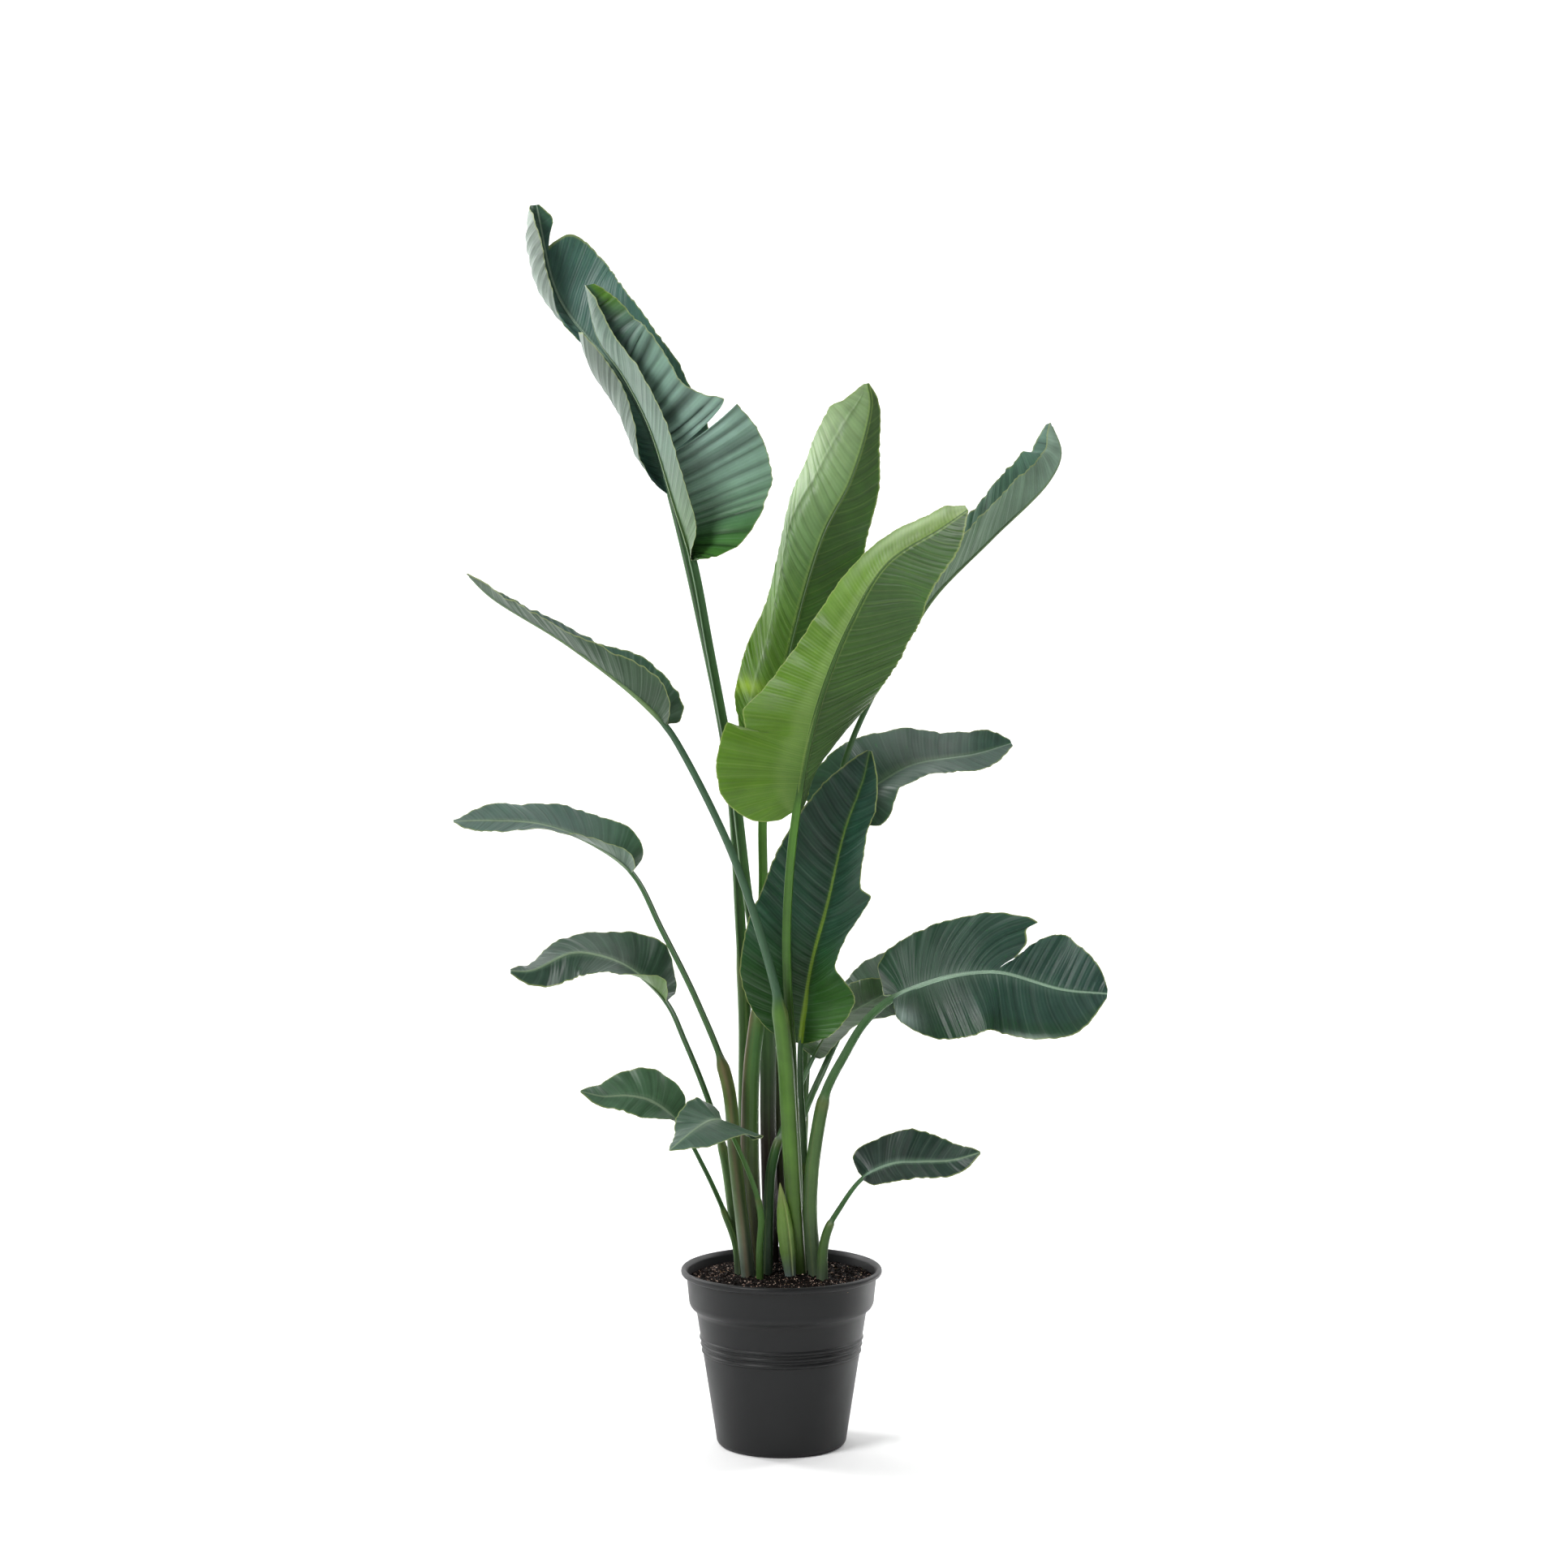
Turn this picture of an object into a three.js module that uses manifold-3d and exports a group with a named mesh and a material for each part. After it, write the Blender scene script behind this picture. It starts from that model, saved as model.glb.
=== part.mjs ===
// Potted bird of paradise: a ribbed plastic nursery pot, its root ball of potting soil, sixteen leaves in
// three shoots and one short bract. Millimetres, +Z up, origin at the centre of the pot's underside, and the
// plant's broad side seen from -Y. Each leaf is one closed solid: foot, sheath, stalk, midrib and blade.
import * as THREE from "three";
import { mergeVertices } from "three/addons/utils/BufferGeometryUtils.js";
import Module from "manifold-3d";

const wasm = await Module();
wasm.setup();

// ---------- driving dimensions ----------
const POT = {
  height: 122,
  rim_radius: 68.5,
  band_top_radius: 65,
  band_bottom_radius: 63.3,
  body_top_radius: 57.5,
  foot_radius: 44.9,
  foot_height: 6.7,
  base_radius: 41,
  groove_radius: 55.7,
  groove_height: 77,
  ribs: [64.9, 69.5, 74.1],
  rib_spacing: 4.6,
  rib_rise: 0.8,
  wall: 1.7,
  floor: 2.4,
  drain_holes: 8,
  drain_radius: 4,
  drain_circle: 29,
  segments: 26,
  drain_sides: 8,
};
const SOIL = { middle: 118.5, edge: 114, gap: 0.4, edge_gap: 0.8, segments: 22 };
const FOOT = { bottom: 106, hole_bottom: 105.6, hole_gap: 0.4, hole_sides: 10, straight_top: 119.6 };
// Veins leave the midrib bent forward by root_bend, and sweep out to the margin by sweep.
const BLADE = {
  thickness: 0.8,
  broad: 46,
  broad_rows: 3,
  narrow_rows: 2,
  root_bend: 1.5,
  sweep: 1.3,
  bend_steps: 24,
  fold_width: 0.36,
  root_overlap: 0.8,
  smallest_edge: 0.05,
};
// Depths are shares of the half width: behind the centre line, and before it on the grooved upper side.
const STALK = {
  sides: 6,
  step: 60,
  first_ring: 0.6,
  ring_clearance: 0.03,
  behind: 0.8,
  before: 0.44,
  sheath_mouth: 8,
};
const SHEATH = { behind: 1, before: 0.8 };
const MIDRIB = { turn: 0.3, behind: 1, before: 0.55, base_share: 0.9, tip_girth: 0.6, taper: 0.7, end: 0.98 };
const CURVE_SAMPLES = { fine: 200, even: 100 };

const MERGE_WITHIN = 1e-4;

const MATERIALS = {
  pot: { color: "#3c3e3f", roughness: 0.5 },
  soil: { color: "#2b211b", roughness: 0.95 },
  mature: { color: "#3d6651", roughness: 0.4 },
  young: { color: "#6b9440", roughness: 0.38 },
  bract: { color: "#7fa257", roughness: 0.45 },
};

// ---------- the leaves ----------
// foot      where the leaf stands in the soil, [x, y]
// stalk     points on the stalk's centre line, upwards from the soil
// rib       points on the midrib, from the blade's base to its tip
// faces     which way the blade's upper side looks at its base, middle and tip
// left and right hold the strips of each half, parted where it is torn to the midrib. A strip's margin points
//           are [share of the midrib, distance from it over the surface, lift, curl]: lift is the half's
//           mean angle above square to the upper side, and curl how much it bends on its way out, in degrees
// fold      where a half bends in one fold, the fold's share of the half's width, [left, right], 0 for none;
//           lift is then the angle up to the fold
// girth     the stalk's half width at the blade, halfway down and at the foot
// sheath    height at which the sheath ends, and the sheath's half width there
const LEAVES = {
  rear_left_tall: {
    kind: "mature",
    foot: [-17, 30],
    stalk: [[-22, 31, 156], [-25, 31, 218], [-25, 30, 286], [-28, 30, 348], [-36, 35, 459], [-57.5, 50, 569]],
    rib: [[-76, 58, 646], [-87, 62, 683], [-101, 66, 713], [-118, 70, 737], [-153, 78, 782], [-169, 84, 846]],
    faces: [[0.5, -0.8, 0.3], [0.55, -0.75, 0.3], [0.6, -0.7, 0.2]],
    left: [
      [
        [0.02, 3, 0, 0], [0.05, 12, 10, 20], [0.1, 22, 20, 40], [0.15, 32, 30, 90], [0.22, 41, 38, 140],
        [0.35, 45, 48, 155], [0.46, 47, 50, 155], [0.54, 46, 50, 150], [0.565, 30, 44, 120],
      ],
      [
        [0.57, 11, 10, 10], [0.63, 12, 16, 30], [0.69, 17, 34, 100], [0.76, 26, 46, 170], [0.84, 34, 48, 190],
        [0.92, 32, 44, 190], [0.97, 22, 36, 170], [1, 6, 10, 60],
      ],
    ],
    right: [[
      [0, 6, 60, 20], [0, 26, 60, 20], [0.08, 40, 62, 10], [0.28, 46, 72, 0], [0.45, 42, 62, -10],
      [0.7, 41, 42, -10], [0.88, 25, 36, 0], [0.895, 17, 36, 0], [0.87, 3, 36, 0], [0.9, 5, 36, 0],
      [0.95, 9, 36, 0], [0.98, 5, 36, 0], [1, 2, 20, 0],
    ]],
    girth: [2.6, 3.8, 5],
    sheath: [324, 4.6],
  },
  rear_left_pleated: {
    kind: "mature",
    foot: [-7, 40],
    stalk: [
      [-8, 37, 155], [-9.2, 31, 218], [-9.4, 27, 266], [-12, 23, 306], [-22.5, 19, 370], [-32, 18, 449],
      [-48.8, 22, 543],
    ],
    rib: [[-60.2, 24, 603], [-72, 20, 641], [-89, 15, 694], [-106, 11, 727], [-123, 8, 752], [-131, 8, 787]],
    faces: [[0.35, -0.9, 0.15], [0.45, -0.85, 0.2], [0.6, -0.7, 0.1]],
    left: [[
      [0, 5, 60, 0], [0.04, 20, 70, 10], [0.15, 27, 88, 10], [0.33, 30, 84, 10], [0.58, 27, 84, 20],
      [0.8, 19, 90, 20], [0.94, 14, 76, 50], [1, 6, 50, 40],
    ]],
    right: [
      [
        [0, 6, 100, 0], [0, 18, 95, 0], [0, 33, 80, 0], [0.02, 44, 62, 0], [0.06, 51, 50, 0],
        [0.11, 58, 32, 0], [0.18, 68, 26, 0], [0.27, 70, 25, 0], [0.36, 68, 30, 0], [0.45, 62, 42, 0],
      ],
      [
        [0.453, 50, 45, 0], [0.473, 55, 46, 0], [0.5, 46, 48, 0], [0.54, 38, 52, 0], [0.58, 34, 54, 0],
        [0.66, 33, 50, 0], [0.78, 31, 40, 0], [0.87, 26, 38, 0], [0.94, 19, 38, 0], [1, 6, 24, 0],
      ],
    ],
    girth: [2.7, 3.5, 5.4],
    sheath: [326, 5.8],
  },
  right_shoot_left: {
    kind: "mature",
    foot: [12, -4],
    stalk: [
      [8.8, -10, 169], [5.6, -20, 226], [2.6, -28.5, 275], [-3, -33, 314], [-31, -40, 405], [-66, -42, 478],
    ],
    rib: [[-77, -42, 495], [-99, -46, 517], [-142, -54, 550], [-191, -62, 581], [-206, -66, 596]],
    faces: [[0.6, 0.3, 0.7], [0.5, 0.3, 0.8], [0.5, 0.2, 0.8]],
    left: [[
      [0, 4, 0, 0], [0.03, 16, 10, 20], [0.1, 23, 28, 20], [0.2, 26, 32, 20], [0.4, 24, 16, 20],
      [0.6, 20, 6, 10], [0.8, 14, 14, 10], [0.92, 8, 24, 0], [1, 1, 30, 0],
    ]],
    right: [[
      [0, 4, 60, 0], [-0.03, 12, 60, 20], [0.03, 20, 90, 20], [0.11, 25, 82, 20], [0.25, 27, 70, 20],
      [0.4, 25, 44, 10], [0.6, 20, 40, 10], [0.8, 13, 40, 0], [0.92, 8, 40, 0], [1, 1, 40, 0],
    ]],
    girth: [2.9, 3.8, 6.2],
    sheath: [304, 6.1],
  },
  middle_tall_young: {
    kind: "young",
    foot: [-15, 8],
    stalk: [[-20.5, 6, 166], [-21.5, 2, 223], [-20, 0, 262], [-16, 0, 298], [-12.5, 0, 379]],
    rib: [[-12, 0, 442], [2, 0, 530], [27, 4, 619], [47, 8, 659], [60, 12, 707], [58, 12, 722]],
    faces: [[0, -1, 0.1], [-0.1, -1, 0.1], [-0.1, -1, 0.1]],
    left: [[
      [0, 3, 20, 0], [0.01, 12, 20, 0], [0.08, 18, 18, 0], [0.16, 23, 15, -10], [0.24, 31, 12, -30],
      [0.33, 32, 12, -45], [0.45, 29, 10, -60], [0.6, 35, 8, -65], [0.72, 44, 6, -62], [0.82, 42, 5, -55],
      [0.91, 33, 5, -40], [0.97, 19, 5, 0], [1, 3, 0, 0],
    ]],
    right: [[
      [0, 3, -10, 0], [0, 20, -10, 0], [0.1, 34, -15, 0], [0.25, 40, -20, 0], [0.42, 40, -25, 0],
      [0.55, 37, -25, 0], [0.67, 31, -30, 0], [0.78, 22, -30, 0], [0.88, 12, -35, 0], [0.95, 7, -35, 0],
      [1, 1, -20, 0],
    ]],
    fold: [0.47, 0],
    girth: [3, 3.4, 7],
    sheath: [295, 5.4],
  },
  middle_front_young: {
    kind: "young",
    foot: [6, 5.5],
    stalk: [[10.5, 1, 167], [8.5, -7, 225], [7, -18, 272], [4, -27, 322], [4, -37, 372]],
    rib: [[10, -46, 438], [25, -57, 511], [46, -65, 565], [69, -72, 603], [104, -79, 626], [121, -82, 638]],
    faces: [[-0.2, -1, 0.05], [-0.35, -0.9, 0.1], [-0.5, -0.8, 0.3]],
    left: [[
      [0, 3, 0, 0], [-0.035, 12, 5, 0], [-0.045, 26, 8, 0], [-0.02, 42, 10, 0], [0.03, 53, 12, 0],
      [0.1, 58, 12, 0], [0.2, 56, 12, 0], [0.185, 42, 10, 0], [0.235, 48, 6, 0], [0.28, 42, 0, 0],
      [0.34, 36, -5, 0], [0.47, 28, -10, 0], [0.6, 24, -12, -10], [0.74, 18, -10, -30],
      [0.87, 15, -5, -40], [0.95, 12, 0, -40], [1, 4, 0, 0],
    ]],
    right: [[
      [0, 3, -30, 0], [0.03, 6, -40, -40], [0.1, 9, -45, -80], [0.17, 14, -48, -80], [0.24, 25, -45, -60],
      [0.33, 34, -40, -30], [0.42, 38, -34, -10], [0.53, 40, -27, 0], [0.63, 40, -22, 0], [0.69, 39, -18, 0],
      [0.76, 36, -14, 0], [0.87, 26, -10, 0], [0.95, 14, -5, 0], [1, 1, 0, 0],
    ]],
    girth: [2.9, 3.2, 4.2],
    sheath: [230, 3.6],
  },
  rear_right_folded: {
    kind: "mature",
    foot: [4, 41],
    stalk: [
      [1, 42, 160], [-2.5, 42, 217], [-0.5, 39, 262], [11, 36, 306], [32, 38, 410], [43, 40, 464],
      [60, 45, 505],
    ],
    rib: [[85, 54, 547], [106, 64, 578], [145, 80, 616], [187, 97, 657], [195, 102, 676], [188, 107, 697]],
    faces: [[-0.75, 0.3, 0.5], [-0.75, 0.25, 0.5], [-0.8, 0.2, 0.3]],
    left: [[
      [0, 3, 40, 0], [0.03, 14, 40, 10], [0.15, 22, 45, 10], [0.35, 26, 65, 10], [0.52, 25, 85, 10],
      [0.68, 28, 98, 10], [0.82, 27, 98, 10], [0.94, 19, 92, 0], [1, 4, 80, 0],
    ]],
    right: [[
      [0, 3, 10, 0], [0.02, 14, 15, 10], [0.12, 23, 18, 20], [0.25, 26, 20, 20], [0.45, 26, 22, 20],
      [0.6, 23, 35, 20], [0.72, 20, 48, 20], [0.85, 14, 70, 10], [0.95, 8, 80, 0], [1, 1, 60, 0],
    ]],
    girth: [2.5, 3.1, 4.4],
    sheath: [272, 5],
  },
  rear_right_drooping: {
    kind: "mature",
    foot: [12, 33],
    stalk: [[13, 34, 161], [15, 38, 217], [18, 44, 267], [22, 50, 322], [34, 60, 400]],
    rib: [[43, 66, 428], [55, 72, 438], [68, 78, 446], [91, 88, 458], [137, 104, 465], [162, 110, 472]],
    faces: [[-0.4, -0.6, 0.7], [-0.2, -0.55, 0.8], [-0.1, -0.5, 0.85]],
    left: [[
      [0, 3, 0, 0], [-0.06, 14, 20, 0], [-0.06, 26, 40, 0], [0.04, 34, 45, 0], [0.16, 37, 44, -10],
      [0.3, 38, 28, -10], [0.5, 36, 12, -10], [0.7, 29, 6, 0], [0.86, 19, 20, 0], [0.95, 11, 40, 0],
      [1, 3, 40, 0],
    ]],
    right: [[
      [0, 3, 0, 0], [-0.04, 14, -5, 0], [0, 23, -20, -10], [0.09, 30, -12, -20], [0.18, 33, 10, -30],
      [0.25, 34, 24, -30], [0.4, 33, 21, -30], [0.6, 28, 15, -20], [0.82, 19, 2, -10],
      [0.93, 11, 0, 0], [1, 3, 0, 0],
    ]],
    girth: [2.3, 3, 4.2],
    sheath: [220, 3.6],
  },
  right_shoot_broad: {
    kind: "mature",
    foot: [15, 9],
    stalk: [[16, 8, 167], [15, 3, 212], [13, -5, 247]],
    rib: [[13, -12, 278], [21, -15, 333], [32, -17, 376], [43, -20, 424], [55, -22, 458], [59, -24, 477]],
    faces: [[0, -1, 0], [-0.1, -1, 0.05], [0, -1, 0.1]],
    left: [[
      [0, 3, 10, 0], [0.03, 20, 12, -10], [0.08, 33, 8, -20], [0.14, 42, 6, -20], [0.22, 48, 5, -20],
      [0.33, 49, 5, -10], [0.45, 46, 5, -10], [0.57, 43, 5, -10], [0.68, 37, 8, 0], [0.78, 30, 14, 0],
      [0.88, 22, 12, 0], [0.95, 13, 8, 0], [1, 2, 0, 0],
    ]],
    right: [[
      [0, 3, 30, 0], [0.04, 20, 26, 0], [0.12, 32, 24, 0], [0.19, 37, 28, 0], [0.25, 38, 48, 0],
      [0.31, 38, 64, 0], [0.4, 38, 60, 0], [0.49, 39, 50, 0], [0.55, 40, 44, 0], [0.57, 34, 52, 0],
      [0.66, 32, 56, 0], [0.76, 27, 56, 0], [0.84, 21, 46, 0], [0.92, 13, 46, 0], [1, 2, 40, 0],
    ]],
    girth: [1.9, 2.2, 4],
    sheath: [190, 3.2],
  },
  right_shoot_torn: {
    kind: "mature",
    foot: [23, -9],
    stalk: [
      [19.5, -14, 159], [20.5, -18, 190], [24, -22, 218], [30, -27, 247], [42, -32, 272], [56, -38, 296],
    ],
    rib: [
      [74, -46, 313], [104, -56, 327], [125, -61, 332], [145, -65, 333], [185, -74, 323], [214, -80, 321],
    ],
    faces: [[-0.1, -0.75, 0.65], [0, -0.8, 0.6], [0.1, -0.9, 0.4]],
    left: [
      [
        [0, 3, 0, 0], [-0.05, 10, -20, 0], [-0.06, 22, -25, 0], [-0.02, 28, 0, 0], [0.06, 35, 8, 0],
        [0.2, 41, 2, -10], [0.32, 44, 0, -10], [0.46, 44, 4, -10], [0.6, 41, 6, -10], [0.57, 34, 6, 0],
        [0.585, 25, 6, 0], [0.56, 12, 6, 0],
      ],
      [
        [0.565, 11, 6, 0], [0.6, 23, 8, 0], [0.66, 33, 8, -10], [0.74, 37, 8, -10], [0.83, 32, 14, 0],
        [0.91, 25, 16, 0], [0.97, 14, 14, 0], [1, 3, 10, 0],
      ],
    ],
    right: [[
      [0, 3, 20, 0], [0.02, 20, 25, 0], [0.06, 34, 25, 0], [0.12, 40, 10, -10], [0.22, 44, -5, -10],
      [0.36, 45, -8, -10], [0.48, 43, -2, -10], [0.61, 40, -14, -10], [0.75, 36, -22, -10],
      [0.86, 29, -20, 0], [0.94, 18, -18, 0], [1, 3, -10, 0],
    ]],
    girth: [2.6, 3.3, 5],
    sheath: [240, 4.6],
  },
  left_shoot_rear: {
    kind: "mature",
    foot: [-10, -8],
    stalk: [[-9, -6, 157], [-7, -2, 190], [-1, 2, 212], [9, 6, 236]],
    rib: [[22, 10, 265], [38, 16, 288], [53, 22, 297], [68, 28, 304], [83, 34, 314]],
    faces: [[-0.2, -0.8, 0.5], [-0.1, -0.75, 0.6], [0, -0.7, 0.7]],
    left: [[
      [0, 2, 0, 0], [0.02, 12, -10, 0], [0.08, 20, -20, 0], [0.24, 26, -40, 0], [0.45, 27, -30, 0],
      [0.68, 23, -10, 0], [0.88, 12, 0, 0], [1, 2, 0, 0],
    ]],
    right: [[
      [0, 2, 20, 0], [0.02, 12, 40, 0], [0.12, 20, 45, 0], [0.3, 23, 40, 0], [0.5, 22, 36, 0],
      [0.7, 18, 35, 0], [0.88, 10, 35, 0], [1, 2, 20, 0],
    ]],
    girth: [1.6, 2, 4],
    sheath: [206, 3.4],
  },
  right_shoot_rear: {
    kind: "mature",
    foot: [4, 19],
    stalk: [[8, 20, 163], [9, 24, 197], [16, 28, 223], [27, 34, 248]],
    rib: [[48, 46, 288], [72, 62, 310], [89, 72, 321], [109, 82, 327]],
    faces: [[-0.3, -0.6, 0.7], [-0.2, -0.6, 0.75], [-0.1, -0.6, 0.8]],
    left: [[
      [0, 2, 0, 0], [0, 14, -10, 0], [0.12, 23, -20, 0], [0.3, 27, -8, 0], [0.5, 26, 0, 0],
      [0.72, 20, -5, 0], [0.9, 11, 5, 0], [1, 2, 0, 0],
    ]],
    right: [[
      [0, 2, 20, 0], [0, 14, 20, 0], [0.12, 24, 0, 0], [0.3, 27, -12, 0], [0.5, 26, -8, 0],
      [0.72, 20, -5, 0], [0.9, 11, -5, 0], [1, 2, 0, 0],
    ]],
    girth: [2.2, 2.6, 4],
    sheath: [200, 3.6],
  },
  left_shoot_long: {
    kind: "mature",
    foot: [-22, -12],
    stalk: [[-26.5, -12, 159], [-31, -12, 200], [-36.5, -12, 252], [-57, -10, 306], [-81, -8, 355]],
    rib: [[-101, -6, 393], [-128, -7, 413], [-162, -10, 426], [-194, -15, 429], [-220, -20, 429]],
    faces: [[0.5, -0.2, 0.85], [0.25, -0.2, 0.95], [0, -0.2, 1]],
    left: [[
      [0, 2, 20, 0], [0.01, 12, 35, 0], [0.09, 17, 45, 0], [0.2, 19, 36, 0], [0.38, 19, 18, 0],
      [0.55, 17, 8, 0], [0.72, 14, -10, 0], [0.87, 11, -22, 0], [0.96, 7, -20, 0], [1, 2, 0, 0],
    ]],
    right: [[
      [0, 2, 10, 0], [0.01, 16, 20, 0], [0.06, 22, 44, 0], [0.15, 26, 40, 0], [0.26, 28, 25, 0],
      [0.42, 27, 22, 0], [0.6, 23, 16, 0], [0.78, 17, 24, 0], [0.9, 10, 25, 0], [1, 2, 10, 0],
    ]],
    girth: [2.3, 2.8, 5.4],
    sheath: [262, 4.8],
  },
  left_shoot_arched: {
    kind: "mature",
    foot: [-26.5, 5],
    stalk: [[-32.5, 6, 155], [-39, 8, 198], [-50, 11, 235], [-66, 14, 275]],
    rib: [[-79, 17, 302], [-104, 18, 325], [-125, 16, 334], [-143, 12, 336], [-170, 5, 325], [-184, 3, 325]],
    faces: [[0.4, -0.35, 0.85], [0, -0.5, 0.85], [-0.3, -0.5, 0.8]],
    left: [[
      [0, 2, 30, 0], [0.03, 12, 55, 0], [0.1, 20, 60, 0], [0.2, 24, 40, 0], [0.32, 26, 24, 0],
      [0.45, 24, 12, 0], [0.6, 22, -10, 0], [0.76, 18, -28, 0], [0.9, 10, -50, 0], [1, 2, -40, 0],
    ]],
    right: [[
      [0, 2, 0, 0], [0, 14, 0, 0], [0.08, 24, 15, 0], [0.2, 29, 32, 0], [0.34, 30, 14, 0],
      [0.48, 28, -5, 0], [0.64, 23, -8, 0], [0.82, 16, -14, 0], [0.93, 9, -14, 0], [1, 2, 0, 0],
    ]],
    girth: [2, 2.4, 4],
    sheath: [204, 3.6],
  },
  left_shoot_low: {
    kind: "mature",
    foot: [-29, -2],
    stalk: [[-31, -3, 138], [-38, -4, 158], [-53, -2, 191]],
    rib: [[-71, 0, 222], [-89, -4, 237], [-105, -7, 241], [-121, -10, 241], [-136, -13, 245]],
    faces: [[0.3, -0.6, 0.7], [0.1, -0.7, 0.7], [-0.1, -0.7, 0.7]],
    left: [[
      [0, 2, 40, 0], [0.1, 12, 38, 0], [0.22, 15, 18, 0], [0.42, 16, 0, 0], [0.64, 13, 5, 0],
      [0.84, 8, 5, 0], [1, 1, 10, 0],
    ]],
    right: [[
      [0, 2, 0, 0], [0.02, 14, 0, 0], [0.12, 22, 5, 0], [0.28, 24, 6, 0], [0.42, 23, 12, 0],
      [0.56, 21, -2, 0], [0.72, 17, -14, 0], [0.89, 9, -18, 0], [1, 1, -10, 0],
    ]],
    girth: [1.4, 1.8, 3],
    sheath: [160, 2.4],
  },
  left_shoot_front: {
    kind: "mature",
    foot: [-15, -20],
    stalk: [[-15, -20, 140], [-14, -20, 160], [-18, -21, 180]],
    rib: [[-39, -30, 227], [-44, -38, 230], [-50, -47, 230], [-59, -58, 226], [-74, -70, 215]],
    faces: [[-0.3, -0.3, 0.9], [-0.3, -0.5, 0.8], [-0.4, -0.6, 0.7]],
    left: [[
      [0, 2, 0, 0], [-0.03, 14, -14, 0], [0.04, 36, -20, 0], [0.14, 35, -20, 0], [0.3, 30, -14, 0],
      [0.55, 24, -8, 0], [0.78, 15, -8, 0], [1, 1, 0, 0],
    ]],
    right: [[
      [0, 2, 20, 0], [0, 12, 45, 0], [0.1, 20, 45, 0], [0.24, 24, 25, 0], [0.45, 22, 0, 0],
      [0.75, 15, -25, 0], [1, 1, -20, 0],
    ]],
    girth: [1.3, 1.7, 2.8],
    sheath: [170, 2.4],
  },
  right_shoot_low: {
    kind: "mature",
    foot: [27.5, -18.5],
    stalk: [[28, -18.5, 137], [31.5, -19, 152], [38.5, -20.5, 165]],
    rib: [[55, -25, 188], [75, -32, 199], [92, -36, 201], [114, -41, 203], [133, -45, 209]],
    faces: [[-0.2, -0.7, 0.7], [0, -0.75, 0.65], [0, -0.8, 0.6]],
    left: [[
      [0, 2, 0, 0], [-0.04, 12, -15, 0], [0.02, 18, 15, 0], [0.12, 23, 0, 0], [0.28, 26, -4, 0],
      [0.42, 25, 4, 0], [0.56, 23, -2, 0], [0.76, 17, -18, 0], [0.92, 8, -22, 0], [1, 1, -10, 0],
    ]],
    right: [[
      [0, 2, 40, 0], [0.05, 12, 40, 0], [0.12, 16, 22, 0], [0.3, 18, 15, 0], [0.47, 17, 18, 0],
      [0.62, 15, 14, 0], [0.76, 12, 2, 0], [0.9, 7, -2, 0], [1, 1, 5, 0],
    ]],
    girth: [1.5, 2, 4],
    sheath: [156, 3],
  },
};
// The bract's stations are [height, half width].
const BRACT = {
  foot: [6, -14.5],
  tip: [-1, -16.5, 183],
  half_width: 3.8,
  stations: [[119.6, 3.8], [135, 5], [150, 5], [168, 3.4], [183, 0.5]],
  depth: 0.64,
};

// ---------- solids ----------
function solidOf(geometry) {
  geometry.deleteAttribute("normal");
  geometry.deleteAttribute("uv");
  const merged = mergeVertices(geometry, MERGE_WITHIN);
  return new wasm.Manifold(
    new wasm.Mesh({
      numProp: 3,
      vertProperties: merged.attributes.position.array,
      triVerts: new Uint32Array(merged.index.array),
    }),
  );
}

function meshOf(name, solid, look) {
  const cut = solid.getMesh();
  const geometry = new THREE.BufferGeometry();
  geometry.setAttribute("position", new THREE.BufferAttribute(cut.vertProperties, 3));
  geometry.setIndex(new THREE.BufferAttribute(cut.triVerts, 1));
  geometry.computeVertexNormals();
  const mesh = new THREE.Mesh(geometry, new THREE.MeshStandardMaterial({ ...look, metalness: 0 }));
  mesh.name = name;
  return mesh;
}

// A closed geometry from rings of equal length, each capped at its centre at the two ends.
function loft(rings) {
  const sides = rings[0].length;
  const centre = (ring) => ring.reduce((sum, p) => sum.add(p), new THREE.Vector3()).divideScalar(sides);
  const points = [...rings.flat(), centre(rings[0]), centre(rings.at(-1))];
  const [first_cap, last_cap] = [points.length - 2, points.length - 1];
  const last = (rings.length - 1) * sides;
  const index = [];
  for (let side = 0; side < sides; side++) {
    const next = (side + 1) % sides;
    for (let start = 0; start < last; start += sides) {
      index.push(start + side, start + next, start + sides + next);
      index.push(start + side, start + sides + next, start + sides + side);
    }
    index.push(first_cap, next, side, last_cap, last + side, last + next);
  }
  return new THREE.BufferGeometry().setFromPoints(points).setIndex(index);
}

// A closed geometry from a grid of points and their unit normals, split alike on both faces.
function slab(points, normals, columns, rows, thickness) {
  const count = points.length;
  const faces = [0.5, -0.5].flatMap((side) =>
    points.map((p, i) => p.clone().addScaledVector(normals[i], side * thickness)));
  const index = [];
  const at = (column, row) => column * (rows + 1) + row;
  for (let column = 0; column < columns; column++)
    for (let row = 0; row < rows; row++) {
      const [a, b] = [at(column, row), at(column + 1, row)];
      const [d, c] = [a + 1, b + 1];
      index.push(a, b, c, a, c, d);
      index.push(count + a, count + c, count + b, count + a, count + d, count + c);
    }
  const rim = [];
  for (let column = 0; column < columns; column++) rim.push(at(column, 0));
  for (let row = 0; row < rows; row++) rim.push(at(columns, row));
  for (let column = columns; column > 0; column--) rim.push(at(column, rows));
  for (let row = rows; row > 0; row--) rim.push(at(0, row));
  rim.forEach((a, i) => {
    const b = rim[(i + 1) % rim.length];
    index.push(a, count + a, count + b, a, count + b, b);
  });
  return new THREE.BufferGeometry().setFromPoints(faces).setIndex(index);
}

// ---------- one leaf ----------
const vector = (p) => new THREE.Vector3(...p);
const mix = (a, b, share) => a + (b - a) * share;

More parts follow.
